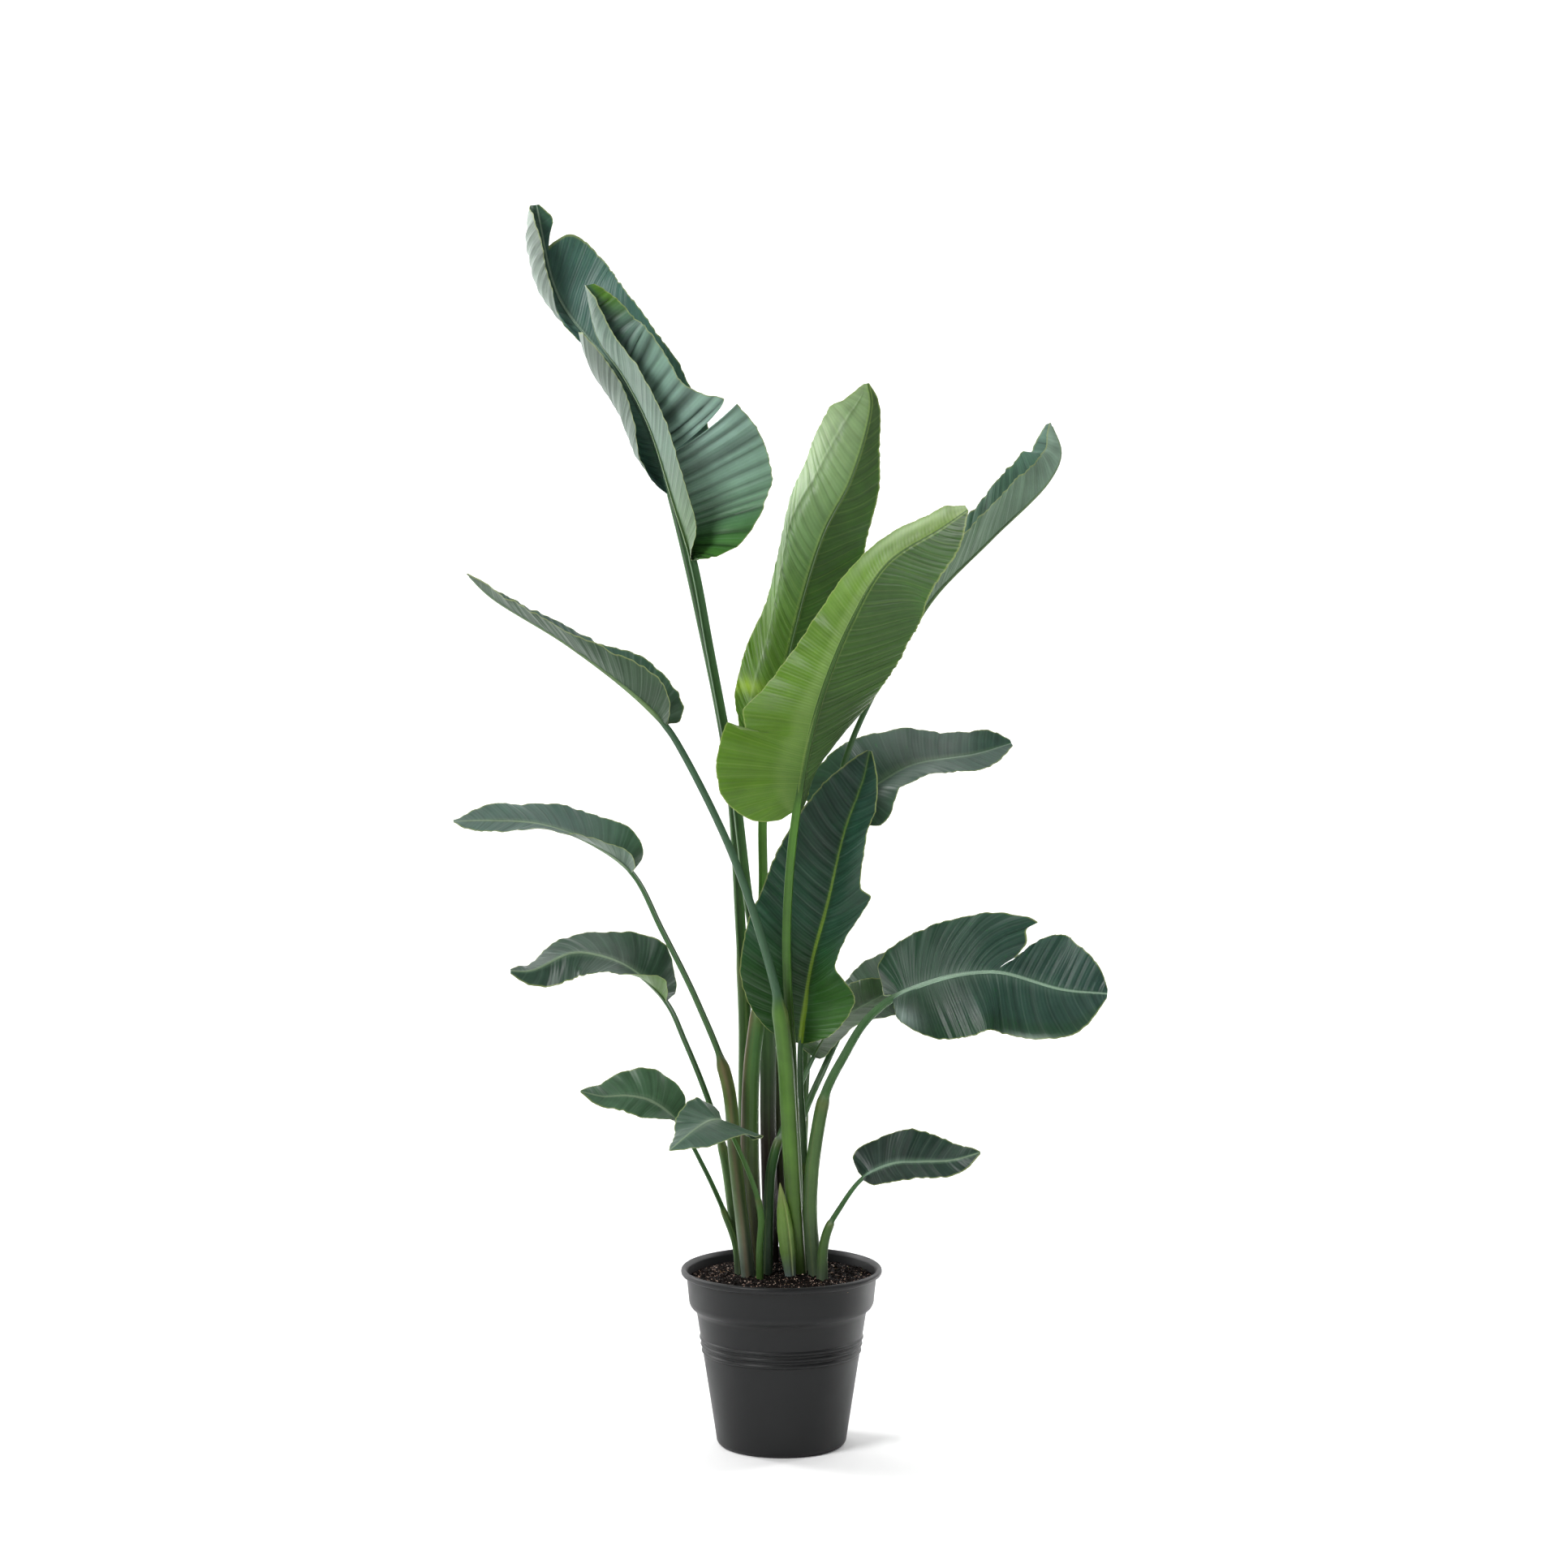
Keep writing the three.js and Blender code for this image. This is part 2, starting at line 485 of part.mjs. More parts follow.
// The value of a list of numbers or vectors, evenly spaced, at a share of the way along it.
function along(list, share) {
  const place = THREE.MathUtils.clamp(share, 0, 1) * (list.length - 1);
  const i = Math.min(Math.floor(place), list.length - 2);
  return list[i].clone ? list[i].clone().lerp(list[i + 1], place - i) : mix(list[i], list[i + 1], place - i);
}

// The centre line of stalk and midrib in one curve, sampled evenly by length in each of the two parts.
function centreLine(leaf) {
  const points = [[...leaf.foot, FOOT.straight_top], ...leaf.stalk, ...leaf.rib].map(vector);
  const curve = new THREE.CatmullRomCurve3(points, false, "centripetal");
  const base = (leaf.stalk.length + 1) / (points.length - 1);
  const part = (from, to) => {
    const fine = Array.from({ length: CURVE_SAMPLES.fine + 1 }, (_, i) =>
      curve.getPoint(mix(from, to, i / CURVE_SAMPLES.fine)));
    const reached = [0];
    for (let i = 1; i < fine.length; i++) reached.push(reached[i - 1] + fine[i].distanceTo(fine[i - 1]));
    const length = reached.at(-1);
    const even = Array.from({ length: CURVE_SAMPLES.even + 1 }, (_, i) => {
      const wanted = (length * i) / CURVE_SAMPLES.even;
      const j = Math.min(reached.findLastIndex((r) => r <= wanted), fine.length - 2);
      return fine[j].clone().lerp(fine[j + 1], (wanted - reached[j]) / (reached[j + 1] - reached[j]));
    });
    const strides = even.slice(1).map((p, i) => p.clone().sub(even[i]));
    const turn = strides.slice(1).reduce((sum, stride, i) => sum + stride.angleTo(strides[i]), 0);
    return { even, length, turn };
  };
  return { stalk: part(0, base), rib: part(base, 1) };
}

// Place, direction, upper side and left side at a share of the midrib, straight on beyond its ends.
function frameAt(rib, faces, share) {
  const inside = THREE.MathUtils.clamp(share, 0, 1);
  const step = 0.01;
  const ahead = along(rib.even, Math.min(inside + step, 1));
  const forward = ahead.sub(along(rib.even, Math.max(inside - step, 0))).normalize();
  const up = along(faces.map(vector), inside);
  up.addScaledVector(forward, -up.dot(forward)).normalize();
  const place = along(rib.even, inside).addScaledVector(forward, (share - inside) * rib.length);
  return { place, forward, up, left: up.clone().cross(forward) };
}

// How far round the half's margin each of its points lies, as a share of the whole, strip by strip.
function outline(strips, rib_length) {
  const walked = strips.map((strip) => {
    const reached = [0];
    for (let i = 1; i < strip.length; i++) {
      const [a, b] = [strip[i - 1], strip[i]];
      reached.push(reached[i - 1] + Math.hypot((b[0] - a[0]) * rib_length, b[1] - a[1]));
    }
    return { strip, reached, length: reached.at(-1) };
  });
  const total = walked.reduce((sum, w) => sum + w.length, 0);
  let start = 0;
  return walked.map(({ strip, reached, length }) => {
    const shares = reached.map((r) => (start + r) / total);
    start += length;
    return { strip, shares };
  });
}

// How far sideways and upwards a half of unit width reaches at a share of it. It bends evenly or at its fold.
function bentReach(lift, curl, fold, out) {
  let [sideways, upwards] = [0, 0];
  const step = out / BLADE.bend_steps;
  for (let i = 0; i < BLADE.bend_steps; i++) {
    const at = step * (i + 0.5);
    const [from, to] = [fold - BLADE.fold_width / 2, fold + BLADE.fold_width / 2];
    const bent = fold ? THREE.MathUtils.smoothstep(at, from, to) : at - 0.5;
    const angle = THREE.MathUtils.degToRad(lift + curl * bent);
    sideways += step * Math.cos(angle);
    upwards += step * Math.sin(angle);
  }
  return [sideways, upwards];
}

// The two halves of a blade as thin solids, one for each strip: a grid from midrib to margin along the veins.
function bladeSolids(leaf, rib) {
  return ["left", "right"].flatMap((side) => {
    const sign = side === "left" ? 1 : -1;
    const fold = leaf.fold?.[side === "left" ? 0 : 1];
    const widest = Math.max(...leaf[side].flat().map(([, across]) => across));
    const rows = widest > BLADE.broad ? BLADE.broad_rows : BLADE.narrow_rows;
    return outline(leaf[side], rib.length).map(({ strip, shares }) => {
      const columns = strip.length - 1;
      const points = [];
      for (const [column, [edge_share, across, lift, curl]] of strip.entries()) {
        const root = Math.pow(shares[column], BLADE.root_bend);
        for (let row = 0; row <= rows; row++) {
          const out = row / rows;
          const frame = frameAt(rib, leaf.faces, mix(root, edge_share, Math.pow(out, BLADE.sweep)));
          const [sideways, upwards] = bentReach(lift, curl, fold, out);
          const away = across * sideways - BLADE.root_overlap * (1 - out);
          frame.place.addScaledVector(frame.left, sign * away);
          points.push(frame.place.addScaledVector(frame.up, across * upwards));
        }
      }
      const grid = (column, row) => points[column * (rows + 1) + row];
      const normals = points.map((_, i) => {
        const [column, row] = [Math.floor(i / (rows + 1)), i % (rows + 1)];
        const [before, after] = [Math.max(column - 1, 0), Math.min(column + 1, columns)];
        const [inner, outer] = [Math.max(row - 1, 0), Math.min(row + 1, rows)];
        const ahead = grid(after, row).clone().sub(grid(before, row));
        const out = grid(column, outer).clone().sub(grid(column, inner));
        return out.cross(ahead).multiplyScalar(-sign).normalize();
      });
      return solidOf(slab(points, normals, columns, rows, sign * BLADE.thickness));
    });
  });
}

// One ring of a stalk: an oval across the leaf, its back rounder than its grooved upper side.
function stalkRing({ place, up, left }, half_width, { behind, before }) {
  return Array.from({ length: STALK.sides }, (_, i) => {
    const angle = (2 * Math.PI * i) / STALK.sides;
    const rise = Math.sin(angle) * half_width;
    return place.clone().addScaledVector(left, Math.cos(angle) * half_width)
      .addScaledVector(up, rise * (rise > 0 ? before : behind));
  });
}

// Foot, sheath, stalk and midrib as one tapering solid along the leaf's centre line.
function stalkSolid(leaf, line) {
  const { stalk, rib } = line;
  const [blade_girth, middle_girth, foot_girth] = leaf.girth;
  const [sheath_top, sheath_girth] = leaf.sheath;
  const standing = { place: vector([...leaf.foot, FOOT.bottom]), forward: new THREE.Vector3(0, 0, 1) };
  standing.up = vector([leaf.faces[0][0], leaf.faces[0][1], 0]).normalize();
  standing.left = standing.up.clone().cross(standing.forward);
  const risen = { ...standing, place: vector([...leaf.foot, FOOT.straight_top]) };
  const rings = [standing, risen].map((frame) => stalkRing(frame, foot_girth, SHEATH));

  const end = stalk.even.findIndex((p) => p.z > sheath_top) / CURVE_SAMPLES.even;
  const steps = Math.round(stalk.length / STALK.step);
  const shares = [...Array(steps).keys()]
    .map((i) => (i + STALK.first_ring) / steps)
    .filter((s) => Math.abs(s - end) > STALK.ring_clearance);
  for (const share of [...shares, end, end + STALK.sheath_mouth / stalk.length].sort((a, b) => a - b)) {
    const half_width = share <= end
      ? mix(foot_girth, sheath_girth, share / end)
      : mix(middle_girth, blade_girth, (share - end) / (1 - end));
    const frame = frameAt(stalk, [leaf.faces[0], leaf.faces[0]], share);
    rings.push(stalkRing(frame, half_width, share <= end ? SHEATH : STALK));
  }
  const rib_steps = Math.max(2, Math.round(rib.turn / MIDRIB.turn));
  for (let i = 0; i <= rib_steps; i++) {
    const share = (MIDRIB.end * i) / rib_steps;
    const half_width = mix(blade_girth * MIDRIB.base_share, MIDRIB.tip_girth, Math.pow(share, MIDRIB.taper));
    rings.push(stalkRing(frameAt(rib, leaf.faces, share), half_width, MIDRIB));
  }
  return solidOf(loft(rings));
}

function leafSolid(leaf) {
  const line = centreLine(leaf);
  const strips = bladeSolids(leaf, line.rib);
  const joined = strips.reduce((whole, strip) => whole.add(strip), stalkSolid(leaf, line));
  const bodies = joined.simplify(BLADE.smallest_edge).decompose();
  return bodies.reduce((most, body) => (body.volume() > most.volume() ? body : most));
}

// ---------- bract, pot and soil ----------
// The bract is a short pointed sheath that never grew a blade.
function bractSolid() {
  const [tip_x, tip_y, tip_z] = BRACT.tip;
  const [x, y] = BRACT.foot;
  return solidOf(loft([[FOOT.bottom, BRACT.half_width], ...BRACT.stations].map(([z, half_width]) => {
    const leaning = Math.max(0, (z - FOOT.straight_top) / (tip_z - FOOT.straight_top));
    const place = new THREE.Vector3(mix(x, tip_x, leaning), mix(y, tip_y, leaning), z);
    const frame = { place, up: new THREE.Vector3(0, 1, 0), left: new THREE.Vector3(1, 0, 0) };
    return stalkRing(frame, half_width, { behind: BRACT.depth, before: BRACT.depth });
  })));
}

function lathe(profile, segments) {
  return solidOf(new THREE.LatheGeometry(profile.map(([r, z]) => new THREE.Vector2(r, z)), segments)
    .rotateX(Math.PI / 2));
}

// The pot's inner wall from the floor up: body, shoulder and band.
const POT_INSIDE = [
  [POT.base_radius - 1.2, POT.floor],
  [POT.foot_radius - POT.wall, 8],
  [POT.body_top_radius - POT.wall, 88],
  [POT.band_bottom_radius - POT.wall, 101],
  [POT.band_top_radius - POT.wall, 116],
];

function potSolid() {
  const wall_at = (z) =>
    mix(POT.foot_radius, POT.groove_radius, (z - POT.foot_height) / (POT.groove_height - POT.foot_height));
  const half_way = POT.rib_spacing / 2;
  const ribs = POT.ribs.flatMap((z) =>
    [[wall_at(z - half_way), z - half_way], [wall_at(z) + POT.rib_rise, z]]);
  const above_ribs = POT.ribs.at(-1) + half_way;
  ribs.push([wall_at(above_ribs), above_ribs]);
  const outside = [
    [0, 0], [POT.base_radius, 0], [43.9, 2], [POT.foot_radius, POT.foot_height], ...ribs,
    [56.5, 82], [POT.body_top_radius, 89], [58.6, 93.4], [61.6, 96.4], [POT.band_bottom_radius, 100],
    [POT.band_top_radius, 116.6], [66.6, 117], [POT.rim_radius - 0.4, 118], [POT.rim_radius, 119.4],
    [POT.rim_radius - 0.4, 121], [POT.rim_radius - 1.8, POT.height], [POT.band_top_radius, 121.6],
    [POT.band_top_radius - 0.9, 120],
  ];
  let pot = lathe([...outside, ...POT_INSIDE.toReversed(), [0, POT.floor]], POT.segments);
  for (let i = 0; i < POT.drain_holes; i++) {
    const radius = POT.drain_radius;
    const hole = new THREE.CylinderGeometry(radius, radius, 4 * POT.floor, POT.drain_sides);
    const turn = (2 * Math.PI * (i + 0.5)) / POT.drain_holes;
    hole.rotateX(Math.PI / 2);
    hole.translate(POT.drain_circle * Math.cos(turn), POT.drain_circle * Math.sin(turn), 0);
    pot = pot.subtract(solidOf(hole));
  }
  return pot;
}

// The root ball fills the pot to a low dome, with a plain blind hole for each foot.
function soilSolid() {
  const sides = POT_INSIDE.filter(([, z]) => z < SOIL.edge).map(([r, z]) => [r - SOIL.gap, z + SOIL.gap]);
  const dome = [1, 0.8, 0.45, 0].map((share) =>
    [share * (POT.band_top_radius - POT.wall - SOIL.edge_gap), mix(SOIL.middle, SOIL.edge, share * share)]);
  let soil = lathe([[0, POT.floor + SOIL.gap], ...sides, ...dome], SOIL.segments);
  const feet = Object.values(LEAVES).map((leaf) => [leaf.foot, leaf.girth[2]]);
  for (const [[x, y], girth] of [...feet, [BRACT.foot, BRACT.half_width]]) {
    const radius = girth + FOOT.hole_gap;
    const height = 2 * (SOIL.middle - FOOT.hole_bottom);
    const hole = new THREE.CylinderGeometry(radius, radius, height, FOOT.hole_sides);
    hole.rotateX(Math.PI / 2).translate(x, y, FOOT.hole_bottom + height / 2);
    soil = soil.subtract(solidOf(hole));
  }
  return soil;
}

// ---------- the part ----------
const part = new THREE.Group();
part.add(meshOf("pot", potSolid(), MATERIALS.pot));
part.add(meshOf("soil", soilSolid(), MATERIALS.soil));
for (const [name, leaf] of Object.entries(LEAVES))
  part.add(meshOf(`leaf_${name}`, leafSolid(leaf), MATERIALS[leaf.kind]));
part.add(meshOf("bract", bractSolid(), MATERIALS.bract));

export default part;
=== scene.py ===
import math

import bpy
import numpy as np
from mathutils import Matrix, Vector, noise


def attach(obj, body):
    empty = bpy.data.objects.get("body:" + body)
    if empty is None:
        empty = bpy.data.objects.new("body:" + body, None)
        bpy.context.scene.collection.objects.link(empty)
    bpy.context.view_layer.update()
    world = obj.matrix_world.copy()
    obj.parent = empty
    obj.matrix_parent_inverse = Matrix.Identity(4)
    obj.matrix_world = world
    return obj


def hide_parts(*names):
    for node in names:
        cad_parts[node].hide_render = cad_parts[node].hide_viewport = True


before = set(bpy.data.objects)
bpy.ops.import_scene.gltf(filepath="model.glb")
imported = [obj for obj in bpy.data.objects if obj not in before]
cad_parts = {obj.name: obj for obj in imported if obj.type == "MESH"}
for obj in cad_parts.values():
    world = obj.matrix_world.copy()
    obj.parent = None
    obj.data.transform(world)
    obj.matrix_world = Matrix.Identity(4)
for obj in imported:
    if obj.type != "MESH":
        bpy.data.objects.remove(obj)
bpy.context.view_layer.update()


# ---------- camera, light and floor ----------
# The plant is seen from just above its middle, from far enough to flatten the perspective, in a white studio:
# a large soft light from the upper left, a pale seamless floor, and a faint beam on the floor behind it to the right.
def srgb(code):
    """An sRGB hex colour as a linear RGBA colour."""
    parts = [int(code[i:i + 2], 16) / 255 for i in (1, 3, 5)]
    return [c / 12.92 if c <= 0.04045 else ((c + 0.055) / 1.055) ** 2.4 for c in parts] + [1.0]


def linear(code):
    """An sRGB hex colour as a linear RGB array."""
    return np.array(srgb(code)[:3])


def add_node(tree, kind, inputs=None, **settings):
    """Adds a node with its settings, and gives each input a value, a link, or a link to a node's first output."""
    added = tree.nodes.new(kind)
    for key, value in settings.items():
        setattr(added, key, value)
    for key, value in (inputs or {}).items():
        if isinstance(value, bpy.types.Node):
            value = value.outputs[0]
        if isinstance(value, bpy.types.NodeSocket):
            tree.links.new(value, added.inputs[key])
        else:
            added.inputs[key].default_value = value
    return added


def new_material(name, values):
    """A material with these values on its shader, and its tree and shader to build on."""
    made = bpy.data.materials.new(name)
    made.use_nodes = True
    shader = made.node_tree.nodes["Principled BSDF"]
    for key, value in values.items():
        shader.inputs[key].default_value = value
    return made, made.node_tree, shader


def add_object(name, data):
    added = bpy.data.objects.new(name, data)
    bpy.context.scene.collection.objects.link(added)
    return added


def look_at(thing, target):
    thing.rotation_euler = (Vector(target) - thing.location).to_track_quat("-Z", "Y").to_euler()


camera_data = bpy.data.cameras.new("camera")
camera_data.sensor_fit = "VERTICAL"
camera_data.sensor_height = 36
camera_data.lens = 85.3
camera = add_object("camera", camera_data)
camera.location = (0, -2.5, 0.66)
look_at(camera, (0, 0, 0.4526))
bpy.context.scene.camera = camera
bpy.context.scene.view_settings.view_transform = "Standard"

for name, place, target, size, watts in (
    ("key softbox", (-1.5, -1.5, 1.8), (0, 0, 0.45), (0.8, 0.8), 46),
    ("fill softbox", (1.7, -1.6, 0.8), (0, 0, 0.4), (0.9, 1.6), 3),
    ("right floor light", (1.1, 0.8, 1.1), (0.55, 0.4, 0), (0.3, 0.3), 3),
    ("left edge strip", (-1.0, 0.45, 0.45), (0, 0, 0.2), (0.4, 1.3), 5),
    ("overhead softbox", (0.1, 0.4, 2.2), (0, 0, 0.4), (1.4, 1.0), 12),
    ("left backdrop light", (-2.4, 1.4, 2.0), (0.2, 3.0, 0.9), (1.0, 1.0), 60),
    ("right backdrop light", (2.4, 1.4, 2.0), (-0.2, 3.0, 0.9), (1.0, 1.0), 60),
):
    light = bpy.data.lights.new(name, "AREA")
    light.shape = "RECTANGLE"
    light.size, light.size_y = size
    light.energy = watts
    light.spread = math.radians(30 if "floor" in name else 180)
    lamp = add_object(name, light)
    lamp.location = place
    look_at(lamp, target)

world = bpy.data.worlds.new("white studio")
world.use_nodes = True
world.node_tree.nodes["Background"].inputs["Color"].default_value = (1, 1, 1, 1)
world.node_tree.nodes["Background"].inputs["Strength"].default_value = 0.25
bpy.context.scene.world = world

# The floor is white paper in one sheet, wide enough to fill the view and curved up far behind.
FLOOR_REACH, SWEEP_START, SWEEP_RADIUS, SWEEP_STEPS = 6.0, 1.6, 1.0, 24
paper, _, _ = new_material("matte white paper", {
    "Base Color": srgb("#fdfdfd"), "Roughness": 0.9, "Specular IOR Level": 0.1})
floor_line = [(-FLOOR_REACH, 0.0), (SWEEP_START, 0.0)]
for step in range(1, SWEEP_STEPS + 1):
    turn = math.radians(90 * step / SWEEP_STEPS)
    floor_line.append((SWEEP_START + SWEEP_RADIUS * math.sin(turn), SWEEP_RADIUS * (1 - math.cos(turn))))
floor_line.append((SWEEP_START + SWEEP_RADIUS, FLOOR_REACH))
floor_points = [(x, y, z) for y, z in floor_line for x in (-FLOOR_REACH, FLOOR_REACH)]
floor_faces = [(2 * i, 2 * i + 1, 2 * i + 3, 2 * i + 2) for i in range(len(floor_line) - 1)]
floor_mesh = bpy.data.meshes.new("studio floor")
floor_mesh.from_pydata(floor_points, [], floor_faces)
floor_mesh.materials.append(paper)
for face in floor_mesh.polygons:
    face.use_smooth = True
floor = add_object("studio floor", floor_mesh)


# ---------- pot ----------
# A nursery pot, injection moulded in dark grey polypropylene with a fine matte skin: a rolled lip, a plain band,
# a step, a tapering body with three low ribs, and a flat underside with a ring of drain holes.
POT_SEGMENTS = 192
FLOOR = 2.4
LIP = (66.9, 119.6)
LIP_RADIUS = (1.7, 2.3)
RIB_HEIGHTS = (64.9, 69.5, 74.1)
RIB_RISE = 0.8
RIB_HALF_WIDTH = 1.8
RIB_GROOVE, GROOVE_WIDTH = 0.35, 0.4
DRAIN = {"count": 8, "radius": 4.0, "circle": 29.0}


def smooth_line(points, steps):
    """Points on a centripetal Catmull-Rom curve through the given points, with so many steps for each stretch."""
    p = np.asarray(points, float)
    p = np.vstack([2 * p[0] - p[1], p, 2 * p[-1] - p[-2]])
    gaps = np.maximum(np.linalg.norm(np.diff(p, axis=0), axis=1), 1e-6) ** 0.5
    line = []
    for i in range(1, len(p) - 2):
        d0, d1, d2 = gaps[i - 1:i + 2]
        slope_in = ((p[i] - p[i - 1]) / d0 - (p[i + 1] - p[i - 1]) / (d0 + d1) + (p[i + 1] - p[i]) / d1) * d1
        slope_out = ((p[i + 1] - p[i]) / d1 - (p[i + 2] - p[i]) / (d1 + d2) + (p[i + 2] - p[i + 1]) / d2) * d1
        t = np.linspace(0, 1, steps, endpoint=False)[:, None]
        line.append(p[i] + slope_in * t + (3 * (p[i + 1] - p[i]) - 2 * slope_in - slope_out) * t ** 2
                    + (2 * (p[i] - p[i + 1]) + slope_in + slope_out) * t ** 3)
    return np.vstack(line + [p[-2]])


def revolve(name, profile, segments):
    """A closed mesh from a profile of [radius, height] in mm that starts and ends on the axis."""
    rings = np.asarray(profile, float)[1:-1]
    turns = 2 * math.pi * np.arange(segments) / segments
    points = np.stack([
        rings[:, :1] * np.cos(turns), rings[:, :1] * np.sin(turns), np.repeat(rings[:, 1:], segments, axis=1),
    ], axis=-1).reshape(-1, 3)
    points = np.vstack([points, [0, 0, profile[0][1]], [0, 0, profile[-1][1]]])
    first, last = len(points) - 2, len(points) - 1
    top = (len(rings) - 1) * segments
    faces = []
    for side in range(segments):
        after = (side + 1) % segments
        faces.append((first, after, side))
        faces.append((last, top + side, top + after))
        for ring in range(0, top, segments):
            faces.append((ring + side, ring + after, ring + segments + after, ring + segments + side))
    mesh = bpy.data.meshes.new(name)
    mesh.from_pydata(points * 0.001, [], faces)
    return mesh


def shade_smooth(mesh, sharp_above):
    for face in mesh.polygons:
        face.use_smooth = True
    mesh.set_sharp_from_angle(angle=math.radians(sharp_above))


def apply_modifiers(piece):
    """Makes what the piece's modifiers give its own plain mesh."""
    applied = bpy.data.meshes.new_from_object(piece.evaluated_get(bpy.context.evaluated_depsgraph_get()))
    piece.modifiers.clear()
    piece.data = applied


body_heights = np.linspace(7, 86, 159)
body_radii = np.interp(body_heights, [6.7, 77, 86], [44.9, 55.7, 57.1])
for height in RIB_HEIGHTS:
    away = np.clip(np.abs(body_heights - height) / RIB_HALF_WIDTH, 0, 1)
    groove = RIB_GROOVE * np.exp(-((away - 1) / GROOVE_WIDTH) ** 2) * (away < 1)
    body_radii += RIB_RISE * (0.5 + 0.5 * np.cos(math.pi * away)) - groove
step_line = smooth_line([(57.1, 86), (57.6, 89.2), (58.1, 91.4), (59.6, 93.6), (61.7, 95.6), (62.9, 98), (63.3, 101),
                         (64.0, 108), (64.8, 115), (65.1, 117.2)], 8)
lip_turns = np.radians(np.linspace(-100, 150, 22))
lip_line = np.stack([LIP[0] + LIP_RADIUS[0] * np.cos(lip_turns), LIP[1] + LIP_RADIUS[1] * np.sin(lip_turns)], axis=1)
inner_line = smooth_line([(64.4, 119.6), (63.2, 114), (61.7, 101.5), (60.1, 97), (56.6, 92), (55.8, 88), (43.6, 9),
                          (41.4, 4.2), (38.5, FLOOR)], 6)
foot_line = smooth_line([(40.2, 0), (41.6, 0.15), (43.0, 0.8), (44.2, 2.6), (44.7, 5.2), (44.95, 7)], 6)
pot_profile = np.vstack([[(0, 0)], foot_line, np.stack([body_radii, body_heights], 1)[1:], step_line[1:], lip_line,
                         inner_line, [(20, FLOOR), (0, FLOOR)]])
pot = add_object("moulded_pot", revolve("moulded_pot", pot_profile, POT_SEGMENTS))

cutters = []
for number in range(DRAIN["count"]):
    turn = 2 * math.pi * (number + 0.5) / DRAIN["count"]
    centre = np.array([DRAIN["circle"] * math.cos(turn), DRAIN["circle"] * math.sin(turn), 0])
    bore = revolve("drain", [(0, -3), (DRAIN["radius"], -3), (DRAIN["radius"], 2 * FLOOR), (0, 2 * FLOOR)], 32)
    for vertex in bore.vertices:
        vertex.co += Vector(centre * 0.001)
    cutters.append(add_object("drain", bore))
for cutter in cutters:
    cut = pot.modifiers.new("drain", "BOOLEAN")
    cut.object = cutter
    cut.solver = "EXACT"
apply_modifiers(pot)
for cutter in cutters:
    bpy.data.objects.remove(cutter)
shade_smooth(pot.data, 40)

# Moulded polypropylene: an even dark grey with a soft broad gloss, because the mould was finely blasted. Handling
# leaves faint duller patches. The skin's 0.3 mm grain is drawn at 0.6 mm so that it shows.
GRAIN = 0.6
moulded, tree, shader = new_material("moulded polypropylene, dark grey", {"IOR": 1.49, "Specular IOR Level": 0.3})
place = add_node(tree, "ShaderNodeTexCoord").outputs["Object"]
grain = add_node(tree, "ShaderNodeTexNoise", {"Vector": place, "Scale": 1000 / GRAIN, "Detail": 2.0})
patches = add_node(tree, "ShaderNodeTexNoise", {"Vector": place, "Scale": 22.0, "Detail": 4.0, "Roughness": 0.6})
tone = add_node(tree, "ShaderNodeMix", {0: patches.outputs["Fac"], 6: srgb("#121314"), 7: srgb("#18191a")},
                data_type="RGBA")
tree.links.new(tone.outputs[2], shader.inputs["Base Color"])
gloss = add_node(tree, "ShaderNodeMapRange", {"Value": patches.outputs["Fac"], "From Min": 0.3, "From Max": 0.7,
                                              "To Min": 0.42, "To Max": 0.52})
tree.links.new(gloss.outputs["Result"], shader.inputs["Roughness"])
relief = add_node(tree, "ShaderNodeBump", {"Height": grain.outputs["Fac"], "Strength": 0.25, "Distance": 0.00006})
tree.links.new(relief.outputs["Normal"], shader.inputs["Normal"])
pot.data.materials.append(moulded)
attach(pot, "root")
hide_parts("pot")


# ---------- soil ----------
# Moist peat potting mix that fills the pot to a low dome round the stems: dark crumbs of many sizes, paler bark
# chips and a few root fibres. The bed is a turned mesh, roughened, and Geometry Nodes strew the loose bits on it.
SOIL_MIDDLE, SOIL_EDGE = 118.5, 114.0
SOIL_RADIUS = 62.2
SOIL_ROUGHNESS = 1.1
ROUGH_ABOVE, STREWN_ABOVE = 112.5, 112.8

dome_shares = np.linspace(1, 0, 64)
dome = np.stack([SOIL_RADIUS * dome_shares, SOIL_MIDDLE + (SOIL_EDGE - SOIL_MIDDLE) * dome_shares ** 2], 1)
root_ball = [(0, 2.9), (38.8, 2.9), (42.4, 9), (55.2, 88), (56.6, 93.4), (60.4, 99), (61.4, 104), (62.2, 112)]
bed_mesh = revolve("potting_soil", np.vstack([root_ball, dome]), 200)
for vertex in bed_mesh.vertices:
    if vertex.co.z * 1000 > ROUGH_ABOVE:
        spot = vertex.co * 1000
        heap = noise.fractal(spot / 9, 0.8, 2.2, 4) + 0.5 * noise.noise(spot / 2.2)
        inward = min(1, (SOIL_RADIUS - math.hypot(spot.x, spot.y)) / 3)
        vertex.co.z += 0.001 * SOIL_ROUGHNESS * heap * max(inward, 0)
soil = add_object("potting_soil", bed_mesh)
shade_smooth(bed_mesh, 180)


